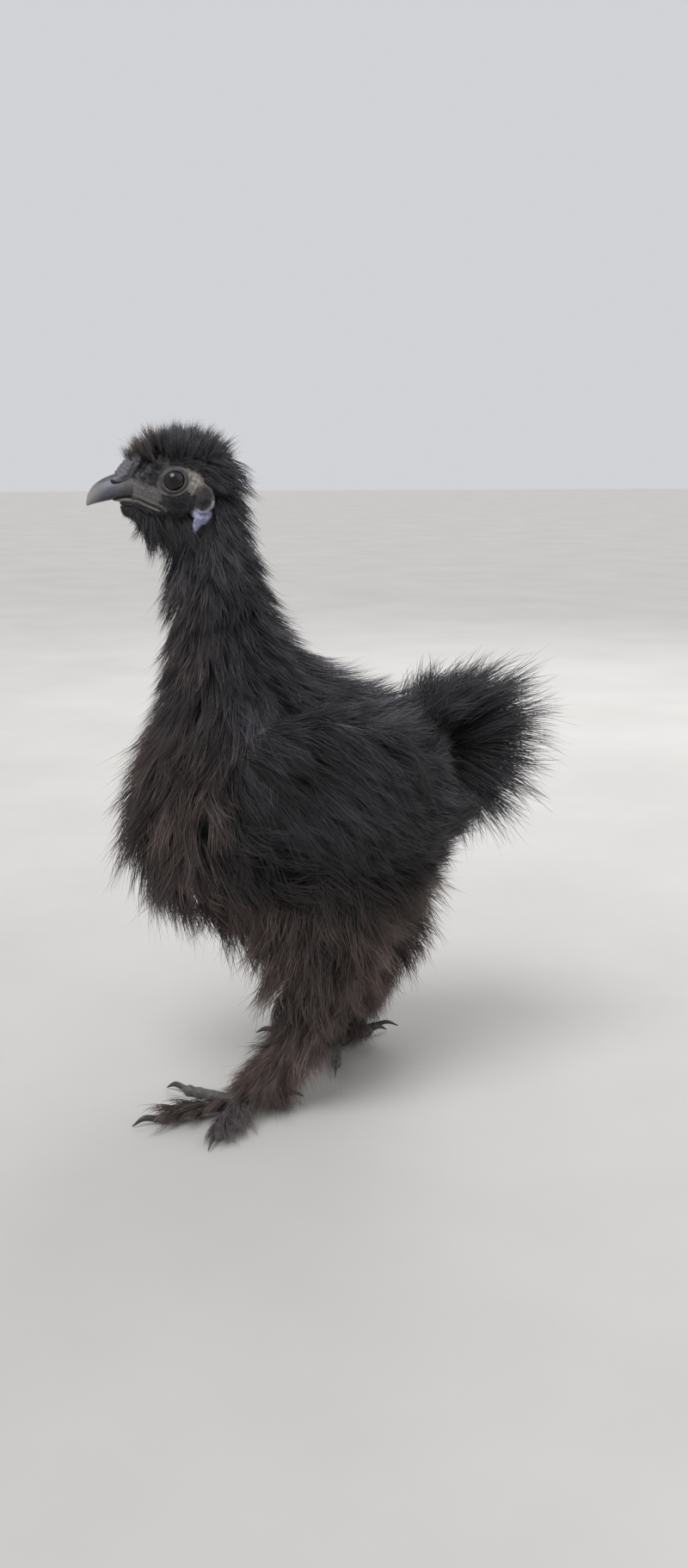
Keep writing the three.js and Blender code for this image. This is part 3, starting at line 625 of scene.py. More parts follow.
def buildSkin():
    limbs = [tubeForm(trunk, 72, 90), tubeForm(tail, 40, 24)]
    for side in ("left", "right"):
        limbs += [tubeForm(wings[side], 48, 40), tubeForm(thighs[side], 40, 40)]
        limbs.append(tubeForm(shanks[side], 32, 30))
    bodySkin = remeshed(*joinForms(limbs), skinSizes["bodyVoxel"], skinSizes["bodySmoothing"])
    headForms = [tubeForm(head, 96, 70), ballForm(*chinPad), *combForms(), *lobeForms()]
    headPoints, headFaces = remeshed(*joinForms(headForms), skinSizes["headVoxel"], skinSizes["smoothing"])
    headSkin = shapeFace(headPoints, headFaces), headFaces
    toes = []
    for side in ("left", "right"):
        footX, footY = feet[side]["middle"]
        thick = feet["thick"]
        toes.append(ballForm([footX, footY, thick / 2 - 0.4], [8.5, 7, thick / 2 + 0.4]))
        for number in feet["spread"]:
            plan = toePlan(side, number)
            radius = plan["radius"] * skinSizes["toeShare"]
            radii = [radius, radius * 0.92, radius * 0.82, radius * 0.6]
            toes.append(hornForm(plan["toe"], radii, tip=1.2))
            for share in (0.32, 0.56, 0.8):
                spot = alongCurve(plan["toe"], np.array([share]))[0]
                toes.append(ballForm(spot - [0, 0, 0.25], [radius * 1.1] * 3, 0, 12, 16))
    footSkin = remeshed(*joinForms(toes), skinSizes["footVoxel"], skinSizes["smoothing"])
    footSkin[0][:, 2] = np.maximum(footSkin[0][:, 2], 0)
    parts = [meshPiece(name, *form, None) for name, form in zip("abc", (bodySkin, headSkin, footSkin))]
    skin = parts[0]
    for other in parts[1:]:
        union = skin.modifiers.new("union", "BOOLEAN")
        union.operation = "UNION"
        union.solver = "MANIFOLD"
        union.object = other
        graph = bpy.context.evaluated_depsgraph_get()
        made = bpy.data.meshes.new_from_object(skin.evaluated_get(graph))
        skin.modifiers.clear()
        skin.data = made
    for other in parts[1:]:
        bpy.data.objects.remove(other)
    skin.name = "skin"
    skin.data.name = "skin"
    skin.data.polygons.foreach_set("use_smooth", np.ones(len(skin.data.polygons), bool))
    return skin


skin = buildSkin()
print("skin made:", len(skin.data.polygons), "faces")


def pointsOf(piece):
    spots = np.zeros(len(piece.data.vertices) * 3, np.float32)
    piece.data.vertices.foreach_get("co", spots)
    return (spots.reshape(-1, 3) - shift) / mm


skinTree = BVHTree.FromObject(skin, bpy.context.evaluated_depsgraph_get())


def skinGap(points):
    return np.array([skinTree.find_nearest(Vector(p))[3] for p in toFrame(points)]) / mm


# Markings, the same on skin and coat: 0 is blue-black and 1 is rusty brown
def brownAt(points):
    x, y, z = np.moveaxis(points, -1, 0)
    breast = smoothRise(-x, 18, 52) * smoothRise(-z, -205, -150)
    under = smoothRise(-z, -128, -88)
    neckBase = 0.45 * smoothRise(-x, 30, 50) * smoothRise(-z, -250, -215)
    brow = 0.5 * smoothRise(-x, 54, 66) * smoothRise(z, 280, 288)
    return np.clip(np.max([0.85 * breast, under, neckBase, brow], axis=0), 0, 1)


def colourAttribute(piece, name, values):
    attribute = piece.data.color_attributes.new(name, "FLOAT_COLOR", "POINT")
    full = np.ones((len(piece.data.vertices), 4), np.float32)
    full[:, : values.shape[1]] = values
    attribute.data.foreach_set("color", full.ravel())


# Where the face is bare, from 0 to 1
def bareAt(points):
    x, y, z = np.moveaxis(points, -1, 0)
    ragged = wobble(x, z, 1.3)
    lobeX, lobeZ = bird["lobeMiddle"]
    cheek, along = lineDistance(x, z, face["cheekLine"])
    patch = lineDistance(x, z, face["patchLine"])[0]
    mouth = lineDistance(x, z, face["mouthLine"])[0]
    drop = np.hypot(x - (lobeX - 2), (z - 260) / 2)
    lobe = np.hypot((x - lobeX - 0.8) / 4.4, (z - lobeZ - 0.6) / 3.6)
    ear = smoothRise(x - bird["earMiddle"][0] + ragged, -4, -2.6)
    bare = np.max([
        smoothFall(eyeDistance(x, z), 1.62, 1.8),
        smoothFall(cheek - 1.2 * (1 - along) + 0.7 * ragged, 2.2, 4.0),
        smoothFall(patch + 0.8 * ragged, 2.2, 3.4),
        smoothFall(earDistance(x, z), 1.0, 1.15) * ear,
        smoothFall(drop, 1.6, 2.4) * (z > 256.5),
        smoothFall(lobe, 0.9, 1.1),
        smoothFall(mouth, 1.3, 2.0),
    ], axis=0)
    comb = smoothRise(-x + 0.55 * (z - 280), 71.6, 73.4) * smoothRise(z, 274, 277)
    return np.maximum(bare * smoothRise(z - 266 + 10 * (x > -52), -0.8, 0.6), comb)


# The powder blue of lobe and ear rim
def blueAt(x, y, z):
    lobeX, lobeZ = bird["lobeMiddle"]
    lobe = np.hypot((x - lobeX - 0.6) / 5.6, (z - lobeZ + 0.2) / 4.4)
    drop = np.hypot((x - lobeX + 2.2) / 2.4, (z - lobeZ + 4.6) / 4.6)
    rim = np.hypot((x - lobeX - 4.8) / 2.0, (z - lobeZ - 5.0) / 4.5)
    blue = np.maximum(smoothFall(lobe, 0.7, 1.2), smoothFall(drop, 0.8, 1.1))
    blue = blue * smoothRise(np.abs(y), 8.6, 9.6)
    blue = np.maximum(blue, 0.6 * smoothFall(rim, 0.6, 1.2) * smoothRise(np.abs(y), 8.5, 9.5))
    return blue * smoothRise(earDistance(x, z), 0.8, 1.02)


# Two masks for the skin: marks holds blue, pale and bare, shades holds dark, comb and brown. Dark is
# painted shade in the mouth line, the eye socket, the ear cup and the nostril slit, with a dark ring round
# the lid
def markSkin():
    points = pointsOf(skin)
    x, y, z = points.T
    opening = sum(face["eyeOpening"]) / 2
    eye = eyeDistance(x, z) * opening
    fold = foldDistance(x, z)
    ear = earDistance(x, z)
    patch = lineDistance(x, z, face["patchLine"])[0] + 0.9 * wobble(x, z, 1.1)
    mouth, along = lineDistance(x, z, face["mouthLine"])
    slit = lineDistance(x, z, face["nostrilLine"])[0]
    below = smoothRise(bird["eye"][2] - z + 0.6 * (x - bird["eye"][0]), -4, 3)
    gape = np.interp(x, [-77, -73, -69, -65, -60], [271.6, 272.2, 271.5, 269.5, 267.5])
    lip = smoothRise(-z + gape, 0, 1) * hump(mouth - 1.0, 0.7) * smoothFall(along, 0.75, 1)
    pale = np.max([
        (0.1 + 0.25 * below) * hump(eye - opening - 0.5, 0.35),
        (0.1 + 0.6 * below) * hump(fold - 1, 0.05),
        0.95 * np.exp(-((np.maximum(patch, 0) / 2.8) ** 3)) * smoothRise(fold, 0.85, 1.0),
        0.55 * lip,
        0.6 * hump(ear - 1.02, 0.12) * (x > bird["earMiddle"][0] - 1),
    ], axis=0)
    pale *= (z > 255) * smoothRise(np.abs(y), 3, 5)
    headSide = (z > 255) * (np.abs(y) > 5)
    # Painted shadow along the mouth line, a dark ring round the lid, painted shade in the ear cup and the
    # eye socket, and in the nostril slit
    dark = np.max([
        0.8 * hump(mouth, 0.5) * (z > 255),
        0.75 * hump(eye - 4.9, 0.7) * headSide,
        0.5 * smoothFall(ear, 0.5, 1.0) * (np.abs(y) > 5),
        smoothFall(eye, opening - 0.5, opening + 0.1) * headSide,
        smoothFall(slit, 0.4, 0.8),
    ], axis=0)
    bare = bareAt(points) * (z > 250) + 0.75 * smoothRise(-z, -12, -9)
    comb = smoothRise(-x + 0.3 * (z - 280), 68, 75) * smoothRise(z, 274, 277)
    colourAttribute(skin, "marks", np.stack([blueAt(x, y, z), pale, np.clip(bare, 0, 1)], -1))
    colourAttribute(skin, "shades", np.stack([dark, comb, brownAt(points)], -1))


markSkin()


# Dark and light of each skin, by its grain
skinTones = {
    "face": [(0.3, (0.055, 0.050, 0.050)), (0.7, (0.120, 0.110, 0.110))],
    "comb": [(0.3, (0.070, 0.066, 0.080)), (0.7, (0.13, 0.125, 0.145))],
    "pale": [(0.38, (0.10, 0.092, 0.08)), (0.6, (0.29, 0.27, 0.23))],
    "powder": [(0.38, (0.09, 0.10, 0.16)), (0.62, (0.27, 0.295, 0.40))],
}


def skinMaterial():
    material, tree, shader = newMaterial("bareSkin")
    marks = addNode(tree, "ShaderNodeAttribute", attribute_name="marks").outputs["Color"]
    shades = addNode(tree, "ShaderNodeAttribute", attribute_name="shades").outputs["Color"]
    blue, pale, bare = addNode(tree, "ShaderNodeSeparateColor", {0: marks}).outputs
    dark, comb, brown = addNode(tree, "ShaderNodeSeparateColor", {0: shades}).outputs
    grain = noiseNode(tree, 420, 6, 0.6)
    under = mixColour(tree, brown, (0.010, 0.010, 0.013), (0.016, 0.012, 0.011))
    bareSkin = ramp(tree, grain, skinTones["face"])
    bareSkin = mixColour(tree, comb, bareSkin, ramp(tree, grain, skinTones["comb"]))
    paleSkin = ramp(tree, noiseNode(tree, 260, 5, 0.65), skinTones["pale"])
    bareSkin = mixColour(tree, pale, bareSkin, paleSkin)
    powder = ramp(tree, noiseNode(tree, 500, 5, 0.7), skinTones["powder"])
    bareSkin = mixColour(tree, blue, bareSkin, powder)
    colour = mixColour(tree, bare, under, bareSkin)
    # Near-black painted shade in the mouth line, eye socket, ear cup and nostril slit, from the dark mask
    colour = mixColour(tree, dark, colour, (0.006, 0.005, 0.006))
    tree.links.new(colour, shader.inputs["Base Color"])
    pores = addNode(tree, "ShaderNodeTexVoronoi", {"Scale": 900})
    vector = addNode(tree, "ShaderNodeTexCoord").outputs["Object"]
    tree.links.new(vector, pores.inputs["Vector"])
    height = mathNode(tree, "ADD", mathNode(tree, "MULTIPLY", grain, 0.8), pores.outputs["Distance"])
    tree.links.new(bumpNode(tree, height, 0.55, 0.0004), shader.inputs["Normal"])
    rough = mathNode(tree, "MULTIPLY_ADD", grain, 0.25)
    rough.node.inputs[2].default_value = 0.42
    tree.links.new(rough, shader.inputs["Roughness"])
    shader.inputs["Specular IOR Level"].default_value = 0.45
    shader.inputs["Subsurface Weight"].default_value = 0.06
    shader.inputs["Subsurface Radius"].default_value = (0.6, 0.35, 0.25)
    shader.inputs["Subsurface Scale"].default_value = 0.002
    return material


skin.data.materials.clear()
skin.data.materials.append(skinMaterial())
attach(skin, "root")
fleshNodes = ["head", "comb", "earlobe_left", "earlobe_right", "neck", "torso", "tail"]
for side in ("left", "right"):
    fleshNodes += [f"{part}_{side}" for part in ("wing", "thigh", "shank", "foot")]
    fleshNodes += [f"toe_{side}_{number}" for number in feet["spread"]]
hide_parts(*fleshNodes)


# Beak: the upper half overhangs and hooks over the lower one
upperBeakRings = [
    ([-63, 0, 282.5], [-63, 0, 270.6], 4.4, 0),
    ([-69, 0, 284.0], [-69, 0, 272.0], 5.6, 0),
    ([-75, 0, 283.2], [-75, 0, 272.2], 5.6, 0),
    ([-80.4, 0, 281.5], [-79.8, 0, 271.3], 4.8, 0),
    ([-84.6, 0, 279.6], [-83.8, 0, 270.5], 3.9, 0),
    ([-88, 0, 277], [-87, 0, 269.8], 2.8, 0),
    ([-90.2, 0, 273.6], [-89.2, 0, 269.2], 1.6, 0),
    ([-91, 0, 270.4], [-90.5, 0, 268.7], 0.5, 0),
]
lowerBeakRings = [
    ([-58, 0, 267.6], [-58, 0, 263.6], 4.6, 0),
    ([-64, 0, 270.0], [-64, 0, 266.4], 5.2, 0),
    ([-69.4, 0, 272.2], [-69.4, 0, 268.6], 5.0, 0),
    ([-74, 0, 272.6], [-74, 0, 269.9], 4.3, 0),
    ([-77.6, 0, 271.9], [-77.6, 0, 270.5], 3.0, 0),
    ([-79.4, 0, 271.4], [-79.4, 0, 270.8], 1.4, 0),
]


# Horn: a pale tip, streaks along the beak, a painted highlight band half way up with painted shade at the
# lower edge and a darker top, and skin tones at the root.
# pale ends and skin starts at that many metres from the upper beak's tip
horns = {
    "upper": {"dark": (0.060, 0.061, 0.076), "pale": (0.26, 0.24, 0.22), "paleFrom": 0, "paleTo": 0.007,
              "skinFrom": 0.0105, "keel": 0.42},
    "lower": {"dark": (0.070, 0.063, 0.060), "pale": (0.15, 0.13, 0.12), "paleFrom": 0.011, "paleTo": 0.023,
              "skinFrom": 0.02, "keel": 0},
}
paintedHornShading = [
    (0.02, (0.35, 0.35, 0.35)), (0.2, (0.8, 0.8, 0.8)), (0.5, (1.35, 1.35, 1.35)), (1, (0.7, 0.7, 0.7)),
]
beakTipX = float(toFrame([-91, 0, 0])[0])


def hornMaterial(half):
    horn = horns[half]
    material, tree, shader = newMaterial(f"{half}Horn")
    vector = addNode(tree, "ShaderNodeTexCoord").outputs["Object"]
    x = addNode(tree, "ShaderNodeSeparateXYZ", {0: vector}).outputs[0]

    def fade(start, end, first, last):
        span = {0: x, 1: beakTipX + start, 2: beakTipX + end, 3: first, 4: last}
        return addNode(tree, "ShaderNodeMapRange", span).outputs[0]

    near = fade(horn["paleFrom"], horn["paleTo"], 1.0, 0.0)
    far = fade(horn["skinFrom"], horn["skinFrom"] + 0.009, 0.0, 1.0)
    height = addNode(tree, "ShaderNodeAttribute", attribute_name="height").outputs["Fac"]
    stretched = addNode(tree, "ShaderNodeMapping", {"Vector": vector, "Scale": (0.35, 1, 1.2)}).outputs[0]
    streak = noiseNode(tree, 600, 4, 0.6, stretched)
    base = ramp(tree, streak, [(0.3, horn["dark"]), (0.7, tuple(1.7 * c for c in horn["dark"]))])
    # Painted highlight half way up the horn, painted shade at its lower edge, and darker towards the top
    base = mixColour(tree, 1.0, base, ramp(tree, height, paintedHornShading), "MULTIPLY")
    base = mixColour(tree, far, base, ramp(tree, noiseNode(tree, 420, 6, 0.6), skinTones["face"]))
    colour = mixColour(tree, near, base, horn["pale"])
    tree.links.new(colour, shader.inputs["Base Color"])
    tree.links.new(bumpNode(tree, streak, 0.25, 0.0003), shader.inputs["Normal"])
    rough = mathNode(tree, "MULTIPLY_ADD", streak, 0.2)
    rough.node.inputs[2].default_value = 0.3
    rough = mathNode(tree, "ADD", rough, mathNode(tree, "MULTIPLY", far, 0.25))
    tree.links.new(rough, shader.inputs["Roughness"])
    shader.inputs["Specular IOR Level"].default_value = 0.4
    return material


def beakPiece(half, rings):
    tube = tubeFrom(rings)
    points, faces = tubeForm(tube, 64, 80, 0.4)
    rows = np.linspace(0, 1, 81)

    def levelOf(line):
        route = alongCurve(line, rows)[::-1]
        return np.interp(points[:, 0], route[:, 0], route[:, 2])

    level = levelOf((tube["back"] + tube["front"]) / 2)
    tall = np.abs(points[:, 2] - level)
    above = points[:, 2] > level
    points[:, 1] *= np.where(above, 1 - horns[half]["keel"] * tall / 7, 1 + 0.02 * tall)
    bottom = levelOf(tube["front"])
    height = np.clip((points[:, 2] - bottom) / np.maximum(levelOf(tube["back"]) - bottom, 0.3), 0, 1)
    piece = meshPiece(f"{half}_beak_horn", points, faces, hornMaterial(half))
    colourAttribute(piece, "height", np.repeat(height[:, None], 3, 1))
    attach(piece, "root")
    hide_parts(f"{half}_beak")


beakPiece("upper", upperBeakRings)
beakPiece("lower", lowerBeakRings)

# Eyes: dark brown iris round a black pupil under a wet cornea
eyes = {"halves": [5.2, 4.6, 5.2], "iris": 0.0041, "pupil": 0.0024, "bulge": 0.35}


def eyeMaterial(side):
    material, tree, shader = newMaterial(f"eye{side.capitalize()}")
    middle = toFrame([bird["eye"][0], 0, bird["eye"][2]])
    vector = addNode(tree, "ShaderNodeTexCoord").outputs["Object"]
    place = addNode(tree, "ShaderNodeSeparateXYZ", {0: vector}).outputs
    across = mathNode(tree, "SUBTRACT", place[0], float(middle[0]))
    up = mathNode(tree, "SUBTRACT", place[2], float(middle[2]))
    squares = mathNode(tree, "ADD", mathNode(tree, "POWER", across, 2), mathNode(tree, "POWER", up, 2))
    away = mathNode(tree, "POWER", squares, 0.5)
    angle = mathNode(tree, "ARCTAN2", up, across)
    spokes = addNode(tree, "ShaderNodeCombineXYZ", {0: mathNode(tree, "MULTIPLY", angle, 6), 1: away})
    fibre = noiseNode(tree, 2.5, 3, 0.6, spokes.outputs[0])
    share = mathNode(tree, "DIVIDE", away, eyes["iris"])
    brown = ramp(tree, fibre, [(0.3, (0.004, 0.003, 0.003)), (0.7, (0.013, 0.008, 0.007))])
    ring = eyes["pupil"] / eyes["iris"]
    pupil = ramp(tree, share, [(ring - 0.04, (0, 0, 0)), (ring + 0.04, (1, 1, 1))])
    outer = ramp(tree, share, [(0.82, (0, 0, 0)), (0.98, (1, 1, 1))])
    colour = mixColour(tree, pupil, (0.002, 0.002, 0.002), brown)
    colour = mixColour(tree, outer, colour, (0.008, 0.007, 0.008))
    tree.links.new(colour, shader.inputs["Base Color"])
    shader.inputs["Roughness"].default_value = 0.18
    shader.inputs["Specular IOR Level"].default_value = 0.2
    shader.inputs["Coat Weight"].default_value = 0.55
    shader.inputs["Coat IOR"].default_value = 1.34
    shader.inputs["Coat Roughness"].default_value = 0.03
    return material


for side, sign in (("left", -1), ("right", 1)):
    middle = np.array([bird["eye"][0], sign * 9.4, bird["eye"][2]])
    points, faces = ballForm(middle, eyes["halves"], 0, 48, 64)
    away = np.hypot(points[:, 0] - middle[0], points[:, 2] - middle[2])
    outward = sign * (points[:, 1] - middle[1]) > 0
    points[:, 1] += sign * outward * eyes["bulge"] * np.exp(-((away / 3.4) ** 4))
    eye = meshPiece(f"eye_ball_{side}", points, faces, eyeMaterial(side))
    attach(eye, "root")
    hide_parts(f"eye_{side}")
print("head pieces made")


# Claws
def buildClaws():
    forms = []
    for side in ("left", "right"):
        for number in feet["spread"]:
            plan = toePlan(side, number)
            radius = plan["radius"]
            path = np.array(plan["claw"], float)
            path[1, 2] += 0.3
            forms.append(hornForm(path, [radius * 0.5, radius * 0.42, 0.25], 0.72, 16, 14, 0.25))
    points, faces = joinForms(forms)
    points[:, 2] = np.maximum(points[:, 2], 0)
    material, tree, shader = newMaterial("clawHorn")
    streak = noiseNode(tree, 500, 4, 0.6)
    colour = ramp(tree, streak, [(0.3, (0.016, 0.015, 0.017)), (0.75, (0.06, 0.056, 0.058))])
    tree.links.new(colour, shader.inputs["Base Color"])
    tree.links.new(bumpNode(tree, streak, 0.2, 0.0002), shader.inputs["Normal"])
    shader.inputs["Roughness"].default_value = 0.35
    return meshPiece("claw_horns", points, faces, material)


claws = buildClaws()
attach(claws, "root")
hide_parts(*[f"claw_{side}_{number}" for side in ("left", "right") for number in feet["spread"]])


# Coat. A lock is a bundle of fine closed strands round a guide line that starts on the skin
coat = {
    "patch": 0.003,
    "strandTip": 0.12,
    "ringShares": [0.0, 0.38, 0.72],
    "longShares": [0.0, 0.25, 0.5, 0.74, 0.9],
    "nearSkin": 2.6,
    # the side view line under the wing, where painted shade darkens the locks
    "wingShade": [[-28, 116], [10, 104], [52, 112]],
}
# What a look has where its own dictionary says nothing else
usualLook = {
    "long": False, "startSpread": 0.25, "shortest": 0.72, "loose": 0.12, "gather": 0.7, "thick": 2.0,
    "stray": 1.2, "wave": 0.5, "uneven": 0.1, "tone": 0, "brown": 0, "avoid": False,
    "turns": (0, 360), "rise": 1.0, "riseUneven": 0.12, "lean": 0, "sway": 0, "swayUneven": 9,
    "droop": 0.0, "early": 0.8, "bow": 0.1, "flare": 0.1, "underWing": 0,
}


# Guide lines that lie along a tube, from its skin out to the coat's depth
def layAlong(tube, t, turn, length, rise, sway=0.0, droop=0.0, early=0.65, steps=8):
    count = len(t)
    here = t.copy()
    lines = np.zeros((count, steps + 1, 3))
    ups = np.zeros_like(lines)
    for i in range(steps + 1):
        share = i / steps
        spin = turn + sway * share
        out = -0.06 + (rise + 0.06) * share**early
        near = np.clip(here, 0.021, 0.96)
        at = tubePoint(tube, near, spin, out)
        step = tubePoint(tube, near + 0.02, spin, out) - tubePoint(tube, near - 0.02, spin, out)
        at += step * (np.maximum(here - near, 0) / 0.04)[:, None]
        at[:, 2] -= droop * length * share**2
        lines[:, i] = at
        ups[:, i] = tubeNormal(tube, near, spin)
        here = here + length / steps / np.linalg.norm(step, axis=1) * 0.04
    return lines, ups


# Roots spread evenly over part of a tube
def scatterRoots(tube, count, fromT, toT, turns):
    tries = np.arange(count * 12)
    t = fromT + (toT - fromT) * ((0.5 + tries * 0.7548776662466927) % 1)
    turn = turns[0] + (turns[1] - turns[0]) * ((0.5 + tries * 0.5698402909980532) % 1)
    along = tubePoint(tube, t + 0.005, turn) - tubePoint(tube, t - 0.005, turn)
    around = tubePoint(tube, t, turn + 1) - tubePoint(tube, t, turn - 1)
    area = np.linalg.norm(np.cross(along, around), axis=1)
    kept = draw.random(len(t)) < area / np.quantile(area, 0.98)
    t, turn = t[kept], turn[kept]
    if len(t) > count:
        pick = np.sort(draw.permutation(len(t))[:count])
        t, turn = t[pick], turn[pick]
    return t, turn


def followLine(lines, s):
    steps = lines.shape[1] - 1
    spot = np.clip(s, 0, 1.25) * steps
    lower = np.minimum(spot.astype(int), steps - 1)
    w = (spot - lower)[..., None]
    rows = np.arange(lines.shape[0]).reshape(-1, 1, 1)
    return lines[rows, lower] * (1 - w) + lines[rows, lower + 1] * w


# Strands round guide lines: gives points, faces, colours and map places
def strandsOn(lines, ups, places, look, tone, brown):
    look = {**usualLook, **look}
    locks = len(lines)
    strands = look["strands"]
    shares = np.array(coat["longShares"] if look["long"] else coat["ringShares"])
    shares = np.append(shares, 1.0)
    rings = len(shares)
    shape = (locks, strands)
    start = draw.uniform(0, look["startSpread"], shape)
    end = draw.uniform(look["shortest"], 1.02, shape)
    loose = draw.random(shape) < look["loose"]
    end = np.where(loose, end * draw.uniform(1.0, 1.16, shape), end)
    s = start[..., None] + (end - start)[..., None] * shares
    at = followLine(lines, s)
    up = unit(followLine(ups, np.minimum(s, 1)))
    ahead = followLine(lines, np.minimum(s + 0.06, 1.25)) - followLine(lines, s - 0.06)
    side = unit(np.cross(ahead, up))
    up = np.cross(side, unit(ahead))
    aside = (np.arange(strands) + 0.5) / strands * 2 - 1 + draw.uniform(-1, 1, shape) / strands
    aside = aside[..., None]
    deep = draw.uniform(-1, 1, shape)[..., None]
    width = (look["width"] / 2 * uneven(locks, 0.2))[:, None, None]
    swell = 0.35 + 0.65 * smoothRise(s, 0, 0.4)
    gather = 1 - look["gather"] * np.clip(s, 0, 1) ** 2
    at = at + side * (aside * width * swell * gather)[..., None]
    depth = look["thick"] * (1 - 0.6 * aside**2) * (0.4 + 0.6 * np.sin(np.pi * np.clip(s, 0, 1)))
    at = at + up * (deep * depth / 2)[..., None]
    stray = look["stray"] * np.where(loose, 2.2, 1.0)[..., None] * np.clip(s, 0, 1.2) ** 1.6
    at = at + side * (stray * nudge(0.6, shape)[..., None])[..., None]
    at = at + up * (stray * nudge(0.55, shape)[..., None])[..., None]
    wave = look["wave"] * np.clip(s, 0, 1)
    phase = draw.uniform(0, 6.28, shape)[..., None]
    often = draw.uniform(3, 7, shape)[..., None]
    at = at + side * (wave * np.sin(often * s + phase))[..., None]
    at = at + up * (wave * 0.7 * np.cos(often * s + phase))[..., None]
    at[..., 2] = np.maximum(at[..., 2], bird["floorClear"])
    tangent = np.zeros_like(at)
    tangent[:, :, 1:-1] = at[:, :, 2:] - at[:, :, :-2]
    tangent[:, :, 0] = at[:, :, 1] - at[:, :, 0]
    tangent[:, :, -1] = at[:, :, -1] - at[:, :, -2]
    tangent = unit(tangent)
    first = unit(np.cross(tangent, up + 0.01))
    second = np.cross(tangent, first)
    thin = look["fine"] * uneven(shape, 0.25)[..., None] * np.where(loose, 0.75, 1.0)[..., None]
    taper = 1 - (1 - coat["strandTip"]) * shares**2.2
    radius = (thin * taper)[..., None]
    spin = draw.uniform(0, 2.1, shape)[..., None]
    corners = []
    for k in range(3):
        angle = (spin + k * 2 * math.pi / 3)[..., None]
        corners.append(at + radius * (np.cos(angle) * first + np.sin(angle) * second))
    body = np.stack(corners, 3)[:, :, :-1].reshape(locks * strands, (rings - 1) * 3, 3)
    tips = at[:, :, -1].reshape(-1, 1, 3)
    points = np.concatenate([body, tips], 1)
    each = points.shape[1]
    pattern = [[0, 2, 1]]
    for ring in range(rings - 2):
        for k in range(3):
            a = ring * 3 + k
            b = ring * 3 + (k + 1) % 3
            pattern += [[a, b, b + 3], [a, b + 3, a + 3]]
    last = (rings - 2) * 3
    pattern += [[last + k, last + (k + 1) % 3, each - 1] for k in range(3)]
    faces = (np.array(pattern)[None] + (np.arange(len(points)) * each)[:, None, None]).reshape(-1, 3)
    along = np.append(np.repeat(shares[:-1], 3), 1.0)
    reach = start[..., None] + (end - start)[..., None] * along
    tint = np.clip(tone[:, None] + nudge(look["uneven"], shape), 0, 1)
    colours = np.zeros((locks, strands, each, 3), np.float32)
    colours[..., 0] = brown[:, None, None]
    colours[..., 1] = tint[..., None]
    colours[..., 2] = np.clip(reach, 0, 1)
    maps = np.zeros((locks, strands, each, 2), np.float32)
    corner = 0.3 * np.append(np.tile(np.arange(3), rings - 1), 1)
    column = (np.arange(strands)[:, None] + 0.2 + corner) / strands
    maps[..., 0] = places[:, None, None, 0] + coat["patch"] * column[None]
    maps[..., 1] = places[:, None, None, 1] + coat["patch"] * along
    return points.reshape(-1, 3), faces, colours.reshape(-1, 3), maps.reshape(-1, 2)


def coatPiece(name, bundles, slot, *nodes):
    points, faces = joinForms([bundle[:2] for bundle in bundles])
    piece = meshPiece(name, points, faces, plumage)
    colourAttribute(piece, "coat", np.concatenate([bundle[2] for bundle in bundles]))
    maps = np.concatenate([bundle[3] for bundle in bundles])
    layer = piece.data.uv_layers.new(name="OFBake")
    layer.data.foreach_set("uv", maps[faces.ravel()].ravel())
    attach(piece, "root")
    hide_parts(*nodes)
    print(name, len(faces), "triangles")


# Soft patches of lighter and darker locks
def patchTone(points, size, offset=0.0):
    x, y, z = np.moveaxis(points / size, -1, 0)
    first = np.sin(x * 1.7 + 2.1 * np.sin(z * 0.9 + offset) + offset)
    second = np.sin(z * 2.3 + 1.4 * np.sin(y * 1.3 + x * 0.6) + 2 * offset)
    return 0.5 + 0.25 * first + 0.25 * second * np.cos(y * 1.1)


# Locks that would cross the bare face are left out
def clearOfFace(lines):
    crossing = [(bareAt(lines[:, k]) > 0.45) & (np.abs(lines[:, k, 1]) > 4) for k in (2, 4, 6, 8)]
    return ~np.any(crossing, axis=0)


